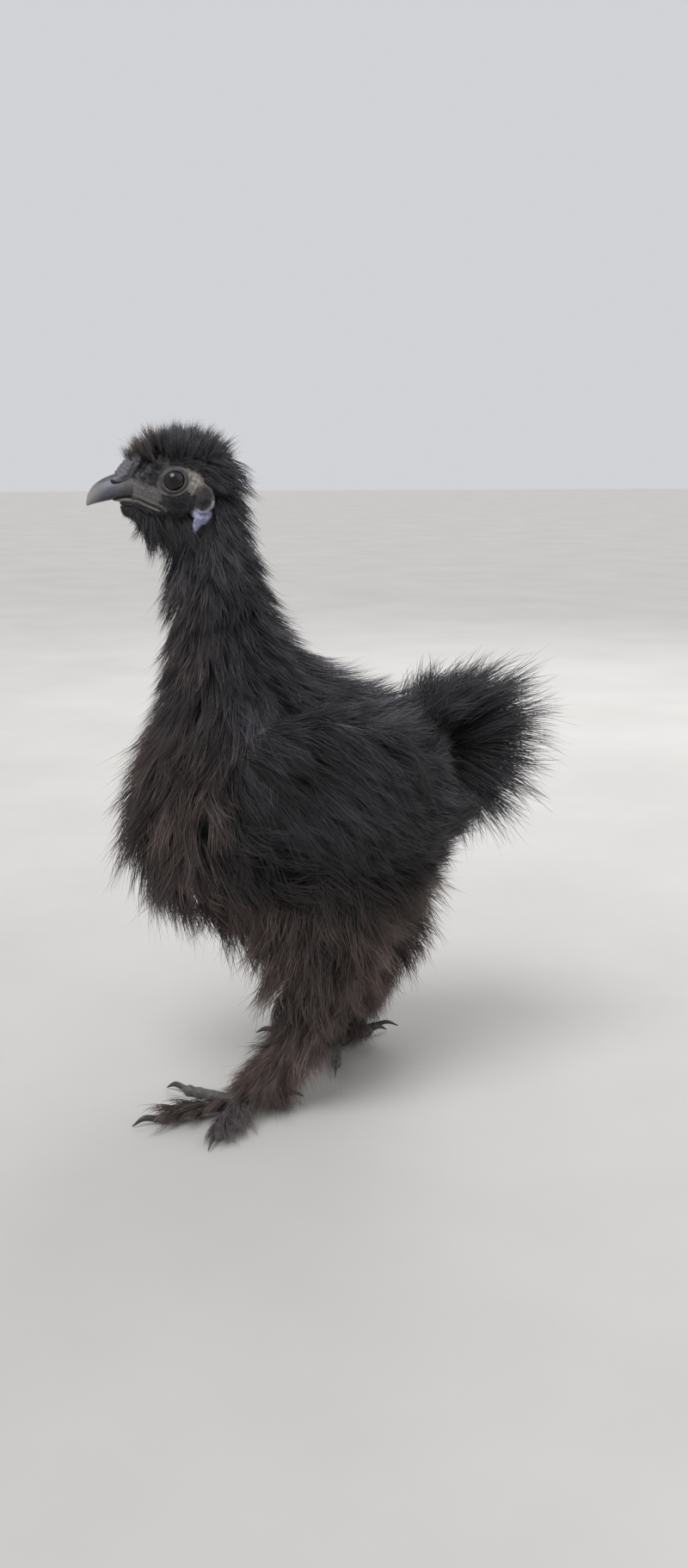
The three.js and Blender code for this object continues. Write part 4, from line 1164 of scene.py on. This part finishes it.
def tubeBundle(tube, look, mapBox=(0.0, 0.0, 1.0, 1.0), covered=None):
    look = {**usualLook, **look}
    t, turn = scatterRoots(tube, look["locks"], look["from"], look["to"], look["turns"])
    roots = tubePoint(tube, t, turn)
    kept = skinGap(roots) < coat["nearSkin"]
    if covered:
        kept &= ~covered(roots)
    t, turn, roots = t[kept], turn[kept], roots[kept]
    count = len(t)
    along = (t - look["from"]) / (look["to"] - look["from"])
    length = np.interp(along, np.linspace(0, 1, len(look["length"])), look["length"]) * uneven(count, 0.16)
    rises = np.atleast_1d(look["rise"]).astype(float)
    rise = np.interp(along, np.linspace(0, 1, len(rises)), rises)
    rise *= uneven(count, look["riseUneven"])
    rise *= 1 + look["lean"] * np.sin(np.radians(turn))
    sway = look["sway"] + look["swayUneven"] * draw.uniform(-1, 1, count)
    lines, ups = layAlong(tube, t, turn, length, rise, sway, look["droop"], look["early"])
    across = unit(np.cross(lines[:, -1] - lines[:, 0], ups[:, 4]))[:, None]
    share = np.linspace(0, 1, lines.shape[1])[None, :, None]
    if look["avoid"]:
        clear = clearOfFace(lines)
        lines, ups, across, t, turn = lines[clear], ups[clear], across[clear], t[clear], turn[clear]
        length, along, count = length[clear], along[clear], int(clear.sum())
    bow = nudge(look["bow"], count) * length
    flick = nudge(look["bow"], count) * length
    curl = across * flick[:, None, None] * np.sin(np.pi * share) * 0.6
    lines = lines + across * bow[:, None, None] * share**2 + curl
    tips = draw.uniform(-0.02, look["flare"], count) * length
    lines = lines + ups * tips[:, None, None] * share**3
    low, high = look["turns"]
    u = mapBox[0] + (mapBox[2] - mapBox[0]) * (0.01 + 0.975 * (turn - low) / (high - low))
    v = mapBox[1] + (mapBox[3] - mapBox[1]) * (0.01 + 0.975 * along)
    middle = lines[:, 5]
    tone = np.clip(patchTone(middle, 14) * 0.65 + 0.35 * draw.random(count) + look["tone"], 0, 1)
    # Painted shade under the wing: locks near this line get a lower tone
    gap = lineDistance(middle[:, 0], middle[:, 2], coat["wingShade"])[0]
    paintedWingShade = hump(gap, 11) * smoothRise(np.abs(middle[:, 1]), 22, 32) * look["underWing"]
    tone = np.clip(tone - 0.9 * paintedWingShade, 0, 1)
    brown = np.clip(brownAt(middle) + look["brown"] + nudge(0.08, count), 0, 1)
    return strandsOn(lines, ups, np.stack([u, v], -1), look, tone, brown)


plumageTones = {
    "black": [(0.15, (0.010, 0.010, 0.013)), (0.6, (0.036, 0.035, 0.043)), (1.0, (0.098, 0.094, 0.106))],
    "rust": [(0.15, (0.013, 0.010, 0.009)), (0.6, (0.060, 0.041, 0.036)), (1.0, (0.165, 0.114, 0.099))],
}


def plumageMaterial():
    material, tree, shader = newMaterial("silkyPlumage")
    tint = addNode(tree, "ShaderNodeAttribute", attribute_name="coat").outputs["Color"]
    brown, tone, tip = addNode(tree, "ShaderNodeSeparateColor", {0: tint}).outputs
    black = ramp(tree, tip, plumageTones["black"])
    colour = mixColour(tree, brown, black, ramp(tree, tip, plumageTones["rust"]))
    # Tone lightens or darkens each lock at random and in soft patches, and also carries the painted shade
    # under the wing
    shade = ramp(tree, tone, [(0.05, (0.3, 0.3, 0.3)), (0.5, (0.85, 0.85, 0.85)), (0.95, (2.0, 2.0, 2.0))])
    colour = mixColour(tree, 1.0, colour, shade, "MULTIPLY")
    mottle = ramp(tree, noiseNode(tree, 160, 3), [(0.3, (0.75, 0.75, 0.78)), (0.7, (1.2, 1.18, 1.15))])
    colour = mixColour(tree, 1.0, colour, mottle, "MULTIPLY")
    tree.links.new(colour, shader.inputs["Base Color"])
    shader.inputs["Roughness"].default_value = 0.62
    shader.inputs["Specular IOR Level"].default_value = 0.35
    shader.inputs["Sheen Weight"].default_value = 0.12
    shader.inputs["Sheen Roughness"].default_value = 0.45
    return material


plumage = plumageMaterial()

# Guide lines from given roots: a straight way out, then a bend that grows towards the tip
def guidesFrom(roots, ways, lengths, bends, normals, steps=8):
    share = np.linspace(0, 1, steps + 1)[None, :, None]
    lengths = lengths[:, None, None]
    lines = roots[:, None] + lengths * (ways[:, None] * share + bends[:, None] * share**2)
    return lines, np.repeat(normals[:, None], steps + 1, 1)


def freeBundle(roots, ways, lengths, bends, normals, places, look):
    look = {**usualLook, **look}
    lines, ups = guidesFrom(roots, ways, lengths, bends, normals)
    if look["avoid"]:
        clear = clearOfFace(lines)
        lines, ups, places = lines[clear], ups[clear], places[clear]
    count = len(lines)
    tone = np.clip(patchTone(lines[:, 5], 12) * 0.65 + 0.35 * draw.random(count) + look["tone"], 0, 1)
    brown = np.clip(brownAt(lines[:, 5]) + look["brown"] + nudge(0.06, count), 0, 1)
    return strandsOn(lines, ups, places, look, tone, brown)


neckCoat = {
    "avoid": True,
    "locks": 560, "strands": 20, "from": 0.005, "to": 0.385, "length": [15, 20, 24], "width": 7,
    "fine": 0.14, "thick": 3, "gather": 0.6, "stray": 1.6, "wave": 0.7, "rise": 1.05, "riseUneven": 0.22,
    "swayUneven": 14, "loose": 0.2, "bow": 0.14, "flare": 0.16,
}


def nearFace(roots):
    return (bareAt(roots) > 0.3) & (np.abs(roots[:, 1]) > 4) & (roots[:, 2] > 255)


napeCoat = {
    "avoid": True,
    "locks": 130, "strands": 18, "width": 5, "fine": 0.13, "thick": 2, "gather": 0.5, "stray": 1.5,
    "wave": 0.7, "loose": 0.2, "length": (11, 18),
}


def napeBundle():
    t, turn = scatterRoots(headBackwards, napeCoat["locks"], 0.6, 1.0, (-60, 240))
    roots = tubePoint(headBackwards, t, turn)
    kept = (earDistance(roots[:, 0], roots[:, 2]) > 1.5) & (roots[:, 0] > -43)
    t, turn, roots = t[kept], turn[kept], roots[kept]
    count = len(t)
    outward = unit(roots - [-48, 0, 278])
    ways = unit(outward * 0.6 + [0.55, 0, -0.55] + nudge(0.1, (count, 3)))
    bends = np.array([0.05, 0, -0.35]) + nudge(0.08, (count, 3))
    size = draw.uniform(*napeCoat["length"], count)
    places = np.stack([0.01 + 0.97 * (turn + 60) / 300, 0.9 + 0.09 * (t - 0.6) / 0.4], -1)
    return freeBundle(roots, ways, size, bends, outward, places, napeCoat)


def buildNeck():
    lower = tubeBundle(trunk, neckCoat, (0, 0, 1, 0.89), nearFace)
    coatPiece("coat_neck", [lower, napeBundle()], "plumage", "neck")


trunkCoats = {
    "chest": {
        "underWing": 1,
        "locks": 500, "strands": 22, "from": 0.36, "to": 0.75, "turns": (205, 335), "length": [24, 27, 28],
        "width": 9, "fine": 0.17, "thick": 5, "gather": 0.65, "stray": 2.4, "wave": 1.1, "rise": 1.12,
        "riseUneven": 0.3, "swayUneven": 22, "loose": 0.22, "bow": 0.28, "flare": 0.22, "early": 0.9,
    },
    "back": {
        "underWing": 1,
        "locks": 500, "strands": 22, "from": 0.36, "to": 0.96, "turns": (-25, 205), "length": [24, 26, 28],
        "width": 8.5, "fine": 0.17, "thick": 5, "gather": 0.65, "stray": 2.2, "wave": 1.0, "rise": 1.02,
        "riseUneven": 0.25, "swayUneven": 20, "loose": 0.22, "bow": 0.18, "flare": 0.18, "early": 0.85,
    },
    "belly": {
        "underWing": 1,
        "locks": 420, "strands": 22, "from": 0.66, "to": 0.995, "turns": (195, 345), "length": [26, 27, 26],
        "width": 9, "fine": 0.17, "thick": 5, "gather": 0.6, "stray": 2.6, "wave": 1.2, "droop": 0.3,
        "rise": [1.3, 1.5, 1.15, 1.0],
        "riseUneven": 0.3, "swayUneven": 25, "loose": 0.25, "bow": 0.22, "flare": 0.22, "early": 0.9,
    },
}


def buildTrunk():
    for name, look in trunkCoats.items():
        coatPiece(f"coat_{name}", [tubeBundle(trunk, look)], "plumage", "torso")


wingCoat = {
    "underWing": 1,
    "locks": 370, "strands": 20, "from": 0.0, "to": 0.96, "length": [20, 24, 28], "width": 6.5, "sway": 26,
    "fine": 0.16, "thick": 3.5, "gather": 0.6, "stray": 1.8, "wave": 0.9, "swayUneven": 16, "rise": 1.1,
    "riseUneven": 0.3, "loose": 0.25, "bow": 0.18, "flare": 0.22, "early": 0.9, "tone": -0.18,
}


def buildWings():
    for side, outside, down in (("left", 180, 1), ("right", 0, -1)):
        look = dict(wingCoat, turns=(outside - 100, outside + 100), sway=wingCoat["sway"] * down)
        coatPiece(f"coat_wing_{side}", [tubeBundle(wings[side], look)], "plumage", f"wing_{side}")


thighCoat = {
    "underWing": 1,
    "locks": 330, "strands": 20, "from": 0.04, "to": 0.98, "length": [24, 25, 24], "width": 8.5,
    "rise": [1.2, 1.2, 1.25, 1.3], "leans": {"left": 0.2, "right": 0.45},
    "fine": 0.17, "thick": 5, "gather": 0.6, "stray": 2.6, "wave": 1.3, "brown": 0.1, "riseUneven": 0.35,
    "swayUneven": 24, "loose": 0.25, "bow": 0.28, "flare": 0.25, "early": 0.9, "droop": 0.1,
}
shankCoat = {
    "locks": 150, "strands": 18, "from": 0.08, "to": 0.97, "length": [19, 19, 17], "width": 6,
    "rise": [1.1, 1.3, 1.6, 2.4], "lean": 0.25,
    "fine": 0.13, "thick": 3.5, "gather": 0.5, "stray": 2.4, "wave": 1.4, "brown": 0.9, "tone": 0.2,
    "riseUneven": 0.35, "swayUneven": 30, "loose": 0.3, "bow": 0.3, "flare": 0.3, "early": 0.7,
}


# Loose down at the joints of the leg: fluff that hangs from the back and sides of the hock, and a
# rusty puff round the ankle. The way out is the skin's normal by spread, and then lean
hockCoat = {
    "locks": 75, "strands": 20, "width": 7, "fine": 0.16, "thick": 4, "gather": 0.6, "stray": 2.4,
    "wave": 1.3, "brown": 0.15, "loose": 0.25, "length": {"left": (20, 33), "right": (18, 31)},
    "from": 0.5, "to": 0.98, "around": (-30, 210), "map": (0.505, 0.2, 0.5),
    "spread": [0.55, 0.45, 0], "lean": {"left": [0, 0, -1], "right": [0, 0, -1]}, "ragged": (0.12, 0.1),
    "inward": 0.28, "fall": 0, "share": {"left": 1, "right": 1},
}
ankleCoat = {
    "locks": 95, "strands": 20, "width": 7, "fine": 0.12, "thick": 4, "gather": 0.35, "stray": 2.6,
    "wave": 1.8, "brown": 1.0, "tone": 0.36, "loose": 0.35, "length": {"left": (14, 26), "right": (14, 26)},
    "from": 0.35, "to": 0.97, "around": (-60, 240), "map": (0.2, 0.09, 0),
    "spread": [1, 1, 1], "lean": {"left": [0.25, -0.4, -0.75], "right": [0.25, 0.4, -0.75]},
    "ragged": (0.25, 0.15), "inward": 0.35, "fall": 0.45, "share": {"left": 1, "right": 0.8},
}


def downBundle(tube, down, side):
    low, high = down["around"]
    t, turn = scatterRoots(tube, down["locks"], down["from"], down["to"], down["around"])
    roots = tubePoint(tube, t, turn)
    normals = tubeNormal(tube, t, turn)
    count = len(t)
    outRagged, bendRagged = down["ragged"]
    ways = unit(normals * down["spread"] + down["lean"][side] + nudge(outRagged, (count, 3)))
    bends = -down["inward"] * normals + [0, 0, -down["fall"]] + nudge(bendRagged, (count, 3))
    size = draw.uniform(*down["length"][side], count) * down["share"][side]
    start, step, first = down["map"]
    places = np.stack([0.01 + 0.97 * (turn - low) / (high - low), start + step * (t - first)], -1)
    look = {key: value for key, value in down.items() if key != "lean"}
    return freeBundle(roots, ways, size, bends, normals, places, look)


def buildLegs():
    for side in ("left", "right"):
        look = dict(thighCoat, lean=thighCoat["leans"][side])
        upper = tubeBundle(thighs[side], look, (0, 0.62, 1, 1))
        lower = tubeBundle(shanks[side], shankCoat, (0, 0.3, 1, 0.49))
        hock = downBundle(thighs[side], hockCoat, side)
        bundles = [upper, hock, lower, downBundle(shanks[side], ankleCoat, side)]
        coatPiece(f"coat_leg_{side}", bundles, "brown_down", f"thigh_{side}", f"shank_{side}")


crestCoat = {
    "avoid": True,
    "locks": 600, "strands": 15, "width": 4.2, "fine": 0.11, "thick": 2, "gather": 0.6, "stray": 1.8,
    "wave": 0.6, "loose": 0.25, "startSpread": 0.1, "shortest": 0.65, "middle": [-52.5, 0, 284],
    "reach": [24, 14.5, 22.5],
}


def buildCrest():
    t, turn = scatterRoots(headBackwards, crestCoat["locks"], 0.02, 0.99, (8, 172))
    roots = tubePoint(headBackwards, t, turn)
    low = 286.5 - 4 * smoothRise(roots[:, 0], -46, -34) - 4 * smoothRise(-roots[:, 0], 57, 62)
    kept = (roots[:, 2] > low) & (bareAt(roots) < 0.5)
    t, turn, roots = t[kept], turn[kept], roots[kept]
    count = len(t)
    outward = unit(roots - [-50, 0, 277])
    tips = np.array(crestCoat["middle"]) + np.array(crestCoat["reach"]) * outward
    front = smoothRise(-outward[:, 0], 0.1, 0.7)
    tips[:, 0] += 1.5 - 3.8 * front + nudge(1.8, count)
    tips[:, 2] += 3.5 * front
    tips[:, 1] += nudge(1.8, count)
    way = tips - roots
    size = np.linalg.norm(way, axis=1) * draw.uniform(0.72, 1.1, count)
    size *= 1 + 0.25 * smoothRise(roots[:, 0], -48, -38) * draw.random(count)
    bends = unit(np.stack([np.full(count, 0.6), nudge(0.5, count), np.full(count, -0.3)], -1)) * 0.22
    places = np.stack([0.01 + 0.97 * t, 0.01 + 0.97 * turn / 180], -1)
    normals = unit(roots - [-50, 0, 277])
    side = unit(np.cross(normals, [0, 1, 0.2]))
    bundle = freeBundle(roots - outward * 0.4, unit(way), size, bends, side, places, crestCoat)
    coatPiece("coat_crest", [bundle], "plumage", "crest")


faceCoat = {
    "avoid": True,
    "locks": 1150, "strands": 7, "from": 0.01, "to": 0.97, "length": [2.0, 3.2, 4.5, 6, 8], "width": 2.4,
    "fine": 0.08, "thick": 0.9, "gather": 0.3, "stray": 0.6, "wave": 0.25, "rise": 0.95, "loose": 0.12,
    "riseUneven": 0.25,
}
throatCoat = {
    "avoid": True,
    "locks": 300, "strands": 18, "width": 4.5, "fine": 0.12, "thick": 2.6, "gather": 0.4, "stray": 1.9,
    "wave": 0.9, "loose": 0.25, "length": [5, 19],
}
chinCoat = {
    "locks": 230, "strands": 9, "width": 2.2, "fine": 0.09, "thick": 0.8, "gather": 0.4, "stray": 0.8,
    "wave": 0.3, "loose": 0.15, "length": (4.5, 9),
}


def chinBundle():
    middle, halves = chinPad[:2]
    count = chinCoat["locks"]
    along = draw.uniform(-0.97, 0.6, count)
    turn = np.radians(draw.uniform(190, 350, count))
    around = np.sqrt(1 - along**2)
    ball = np.stack([along, around * np.cos(turn), around * np.sin(turn)], -1)
    roots = np.array(middle) + ball * (np.array(halves) - 0.3)
    aside = 0.25 * ball[:, 1]
    ways = unit(np.stack([0.75 + 0.3 * along, aside, np.full(count, -1.0)], -1) + nudge(0.16, (count, 3)))
    bends = np.stack([np.full(count, 0.2), -0.1 * aside, nudge(0.1, count)], -1)
    size = draw.uniform(*chinCoat["length"], count) * (1.15 + 0.45 * along)
    normals = unit(ball * [1, 1, 0.4])
    places = np.stack([0.01 + 0.07 * (along + 1), 0.005 + 0.05 * turn / 6.28], -1)
    return freeBundle(roots, ways, size, bends, normals, places, chinCoat)


def onBareSkin(roots):
    return bareAt(roots) > 0.35


def buildFace():
    bundle = tubeBundle(headBackwards, faceCoat, covered=onBareSkin)
    coatPiece("coat_face", [bundle], "plumage", "head")
    t, turn = scatterRoots(headBackwards, throatCoat["locks"], 0.0, 0.8, (208, 332))
    roots = tubePoint(headBackwards, t, turn)
    kept = (roots[:, 2] < 267.5) & (bareAt(roots) < 0.4)
    t, turn, roots = t[kept], turn[kept], roots[kept]
    count = len(t)
    shortest, longest = throatCoat["length"]
    size = (shortest + (longest - shortest) * smoothRise(t, 0.0, 0.3)) * uneven(count, 0.2)
    aside = np.sign(roots[:, 1]) * smoothRise(np.abs(roots[:, 1]), 2, 9)
    ways = unit(np.stack([0.9 * t - 0.16, 0.3 * aside, np.full(count, -1.0)], -1) + nudge(0.2, (count, 3)))
    bends = np.stack([0.15 + nudge(0.14, count), nudge(0.12, count) - 0.08 * aside, nudge(0.1, count)], -1)
    normals = unit(np.stack([np.full(count, -1.0), aside, np.full(count, -0.3)], -1))
    places = np.stack([0.01 + 0.97 * t, 0.07 + 0.92 * (turn - 208) / 124], -1)
    bundle = freeBundle(roots, ways, size, bends, normals, places, throatCoat)
    coatPiece("coat_throat", [bundle, chinBundle()], "plumage", "throat")


# Tail: plumes fan out from a middle point; each row gives an angle above the level and its reach
tailCoat = {
    "locks": 340, "strands": 18, "width": 9, "fine": 0.18, "thick": 3, "gather": 0.5, "stray": 2.8,
    "wave": 1.3, "long": True, "loose": 0.3, "shortest": 0.66, "startSpread": 0.35,
    "middle": [62, 0, 160], "spread": 26,
    "reach": [(95, 34), (80, 37), (66, 40), (48, 50), (37, 62), (21, 64), (2, 63), (-14, 60), (-30, 62),
              (-43, 59), (-56, 55), (-67, 47), (-78, 40)],
}


def buildTail():
    count = tailCoat["locks"]
    order = np.arange(count)
    angle = 95 - 173 * ((0.5 + order * 0.7548776662466927) % 1)
    side = 2 * ((0.5 + order * 0.5698402909980532) % 1) - 1
    table = np.array(tailCoat["reach"][::-1], float)
    reach = np.interp(angle, table[:, 0], table[:, 1]) * (1 - 0.2 * side**2) * draw.uniform(0.7, 1.1, count)
    turn = np.radians(angle)
    outward = np.stack([np.cos(turn), np.zeros(count), np.sin(turn)], -1)
    across = np.stack([-np.sin(turn), np.zeros(count), np.cos(turn)], -1)
    middle = np.array(tailCoat["middle"], float)
    root = middle + outward * 8 + across * nudge(2, (count, 1))
    root[:, 1] = side * 7
    share = np.linspace(0, 1, 9)[None, :, None]
    lines = root[:, None] + outward[:, None] * (reach - 8)[:, None, None] * share
    arch = draw.uniform(1, 6, count)[:, None, None] * np.sin(np.pi * share * 0.9)
    hook = draw.uniform(-12, 8, count)[:, None, None] * share**3
    lines = lines + across[:, None] * (arch * np.tanh((angle + 25) / 35)[:, None, None] + hook)
    lines[..., 1] += (side * tailCoat["spread"])[:, None] * share[..., 0] ** 0.7
    ups = np.repeat(unit(np.stack([0 * side, side * 1.5, 0 * side], -1) + across)[:, None], 9, 1)
    tone = np.clip(patchTone(lines[:, 6], 14) * 0.35 + 0.25 * draw.random(count), 0, 1)
    places = np.stack([0.01 + 0.97 * (side + 1) / 2, 0.01 + 0.97 * (angle + 78) / 173], -1)
    brown = np.zeros(count)
    bundle = strandsOn(lines, ups, places, tailCoat, tone, brown)
    coatPiece("coat_tail", [bundle], "plumage", "tail")


# Feet: locks along the top and outer side of the middle and outer toes
footCoat = {
    "strands": 15, "width": 4, "fine": 0.13, "thick": 1.8, "gather": 0.55, "stray": 1.5, "wave": 0.7,
    "brown": 0.3, "loose": 0.3, "toes": {3: 44, 4: 56}, "length": [10, 24],
    "toeLooks": {3: {"brown": 0.6, "tone": 0.15}, 4: {"brown": -0.6, "tone": 0.45, "gather": 0.7}},
}


def buildFeet():
    for side in ("left", "right"):
        inward = feet[side]["inward"]
        bundles = []
        for number, count in footCoat["toes"].items():
            plan = toePlan(side, number)
            share = draw.uniform(0, 0.62, count)
            across = np.append(plan["way"], 0)
            outside = np.array([-across[1], across[0], 0]) * inward
            lean = draw.uniform(-0.3, 1.0, count)[:, None]
            roots = alongCurve(plan["toe"], share) + plan["radius"] * 0.8 * (outside * lean + [0, 0, 0.7])
            ways = unit(across + outside * lean * 0.6 + [0, 0, 0.4] + nudge(0.16, (count, 3)))
            bends = np.stack([0 * share, 0 * share, np.full(count, -0.42)], -1)
            bends += outside * draw.uniform(0, 0.2, (count, 1))
            size = draw.uniform(*footCoat["length"], count) * (0.8 if side == "right" else 1)
            normals = np.repeat([[0, 0, 1.0]], count, 0)
            low = {3: 0.0, 4: 0.5}[number]
            row = low + 0.01 + 0.45 * (lean[:, 0] + 0.3) / 1.3
            places = np.stack([0.01 + 0.97 * share / 0.62, row], -1)
            look = dict(footCoat, **footCoat["toeLooks"][number])
            bundles.append(freeBundle(roots, ways, size, bends, normals, places, look))
        coatPiece(f"coat_foot_{side}", bundles, "brown_down", f"foot_{side}")


buildCrest()
buildFace()
buildNeck()
buildTrunk()
buildWings()
buildTail()
buildLegs()
buildFeet()


# Floor and light
def addFloor():
    size = 12
    corners = [[-size, -size, 0], [size, -size, 0], [size, size, 0], [-size, size, 0]]
    material, tree, shader = newMaterial("paleFloor")
    speck = noiseNode(tree, 6, 5)
    colour = ramp(tree, speck, [(0.3, (0.40, 0.39, 0.375)), (0.7, (0.44, 0.43, 0.415))])
    tree.links.new(colour, shader.inputs["Base Color"])
    shader.inputs["Roughness"].default_value = 0.85
    floor = bpy.data.meshes.new("floor")
    floor.from_pydata(corners, [], [[0, 1, 2, 3]])
    floor.materials.append(material)
    made = bpy.data.objects.new("floor", floor)
    bpy.context.scene.collection.objects.link(made)


def addLight(name, place, target, power, size):
    data = bpy.data.lights.new(name, "AREA")
    data.energy = power
    data.size = size
    light = bpy.data.objects.new(name, data)
    bpy.context.scene.collection.objects.link(light)
    light.location = place
    light.rotation_mode = "QUATERNION"
    light.rotation_quaternion = (Vector(target) - Vector(place)).to_track_quat("-Z", "Y")


def addSun(name, place, strength, spread):
    data = bpy.data.lights.new(name, "SUN")
    data.energy = strength
    data.angle = math.radians(spread)
    light = bpy.data.objects.new(name, data)
    bpy.context.scene.collection.objects.link(light)
    light.rotation_mode = "QUATERNION"
    light.rotation_quaternion = (-Vector(place)).to_track_quat("-Z", "Y")


def addWorld():
    world = bpy.data.worlds.new("studio")
    world.use_nodes = True
    world.node_tree.nodes["Background"].inputs[0].default_value = (0.80, 0.81, 0.84, 1)
    world.node_tree.nodes["Background"].inputs[1].default_value = 0.8
    bpy.context.scene.world = world


addFloor()
addWorld()
addSun("key", (-0.7, -0.8, 1.7), 2.3, 35)
addSun("fill", (1.3, -0.9, 1.0), 0.5, 60)
addLight("rim", (0.7, 1.1, 1.2), (0, 0, 0.18), 12, 1.0)
bpy.context.scene.view_settings.view_transform = "Standard"
print("stage made")
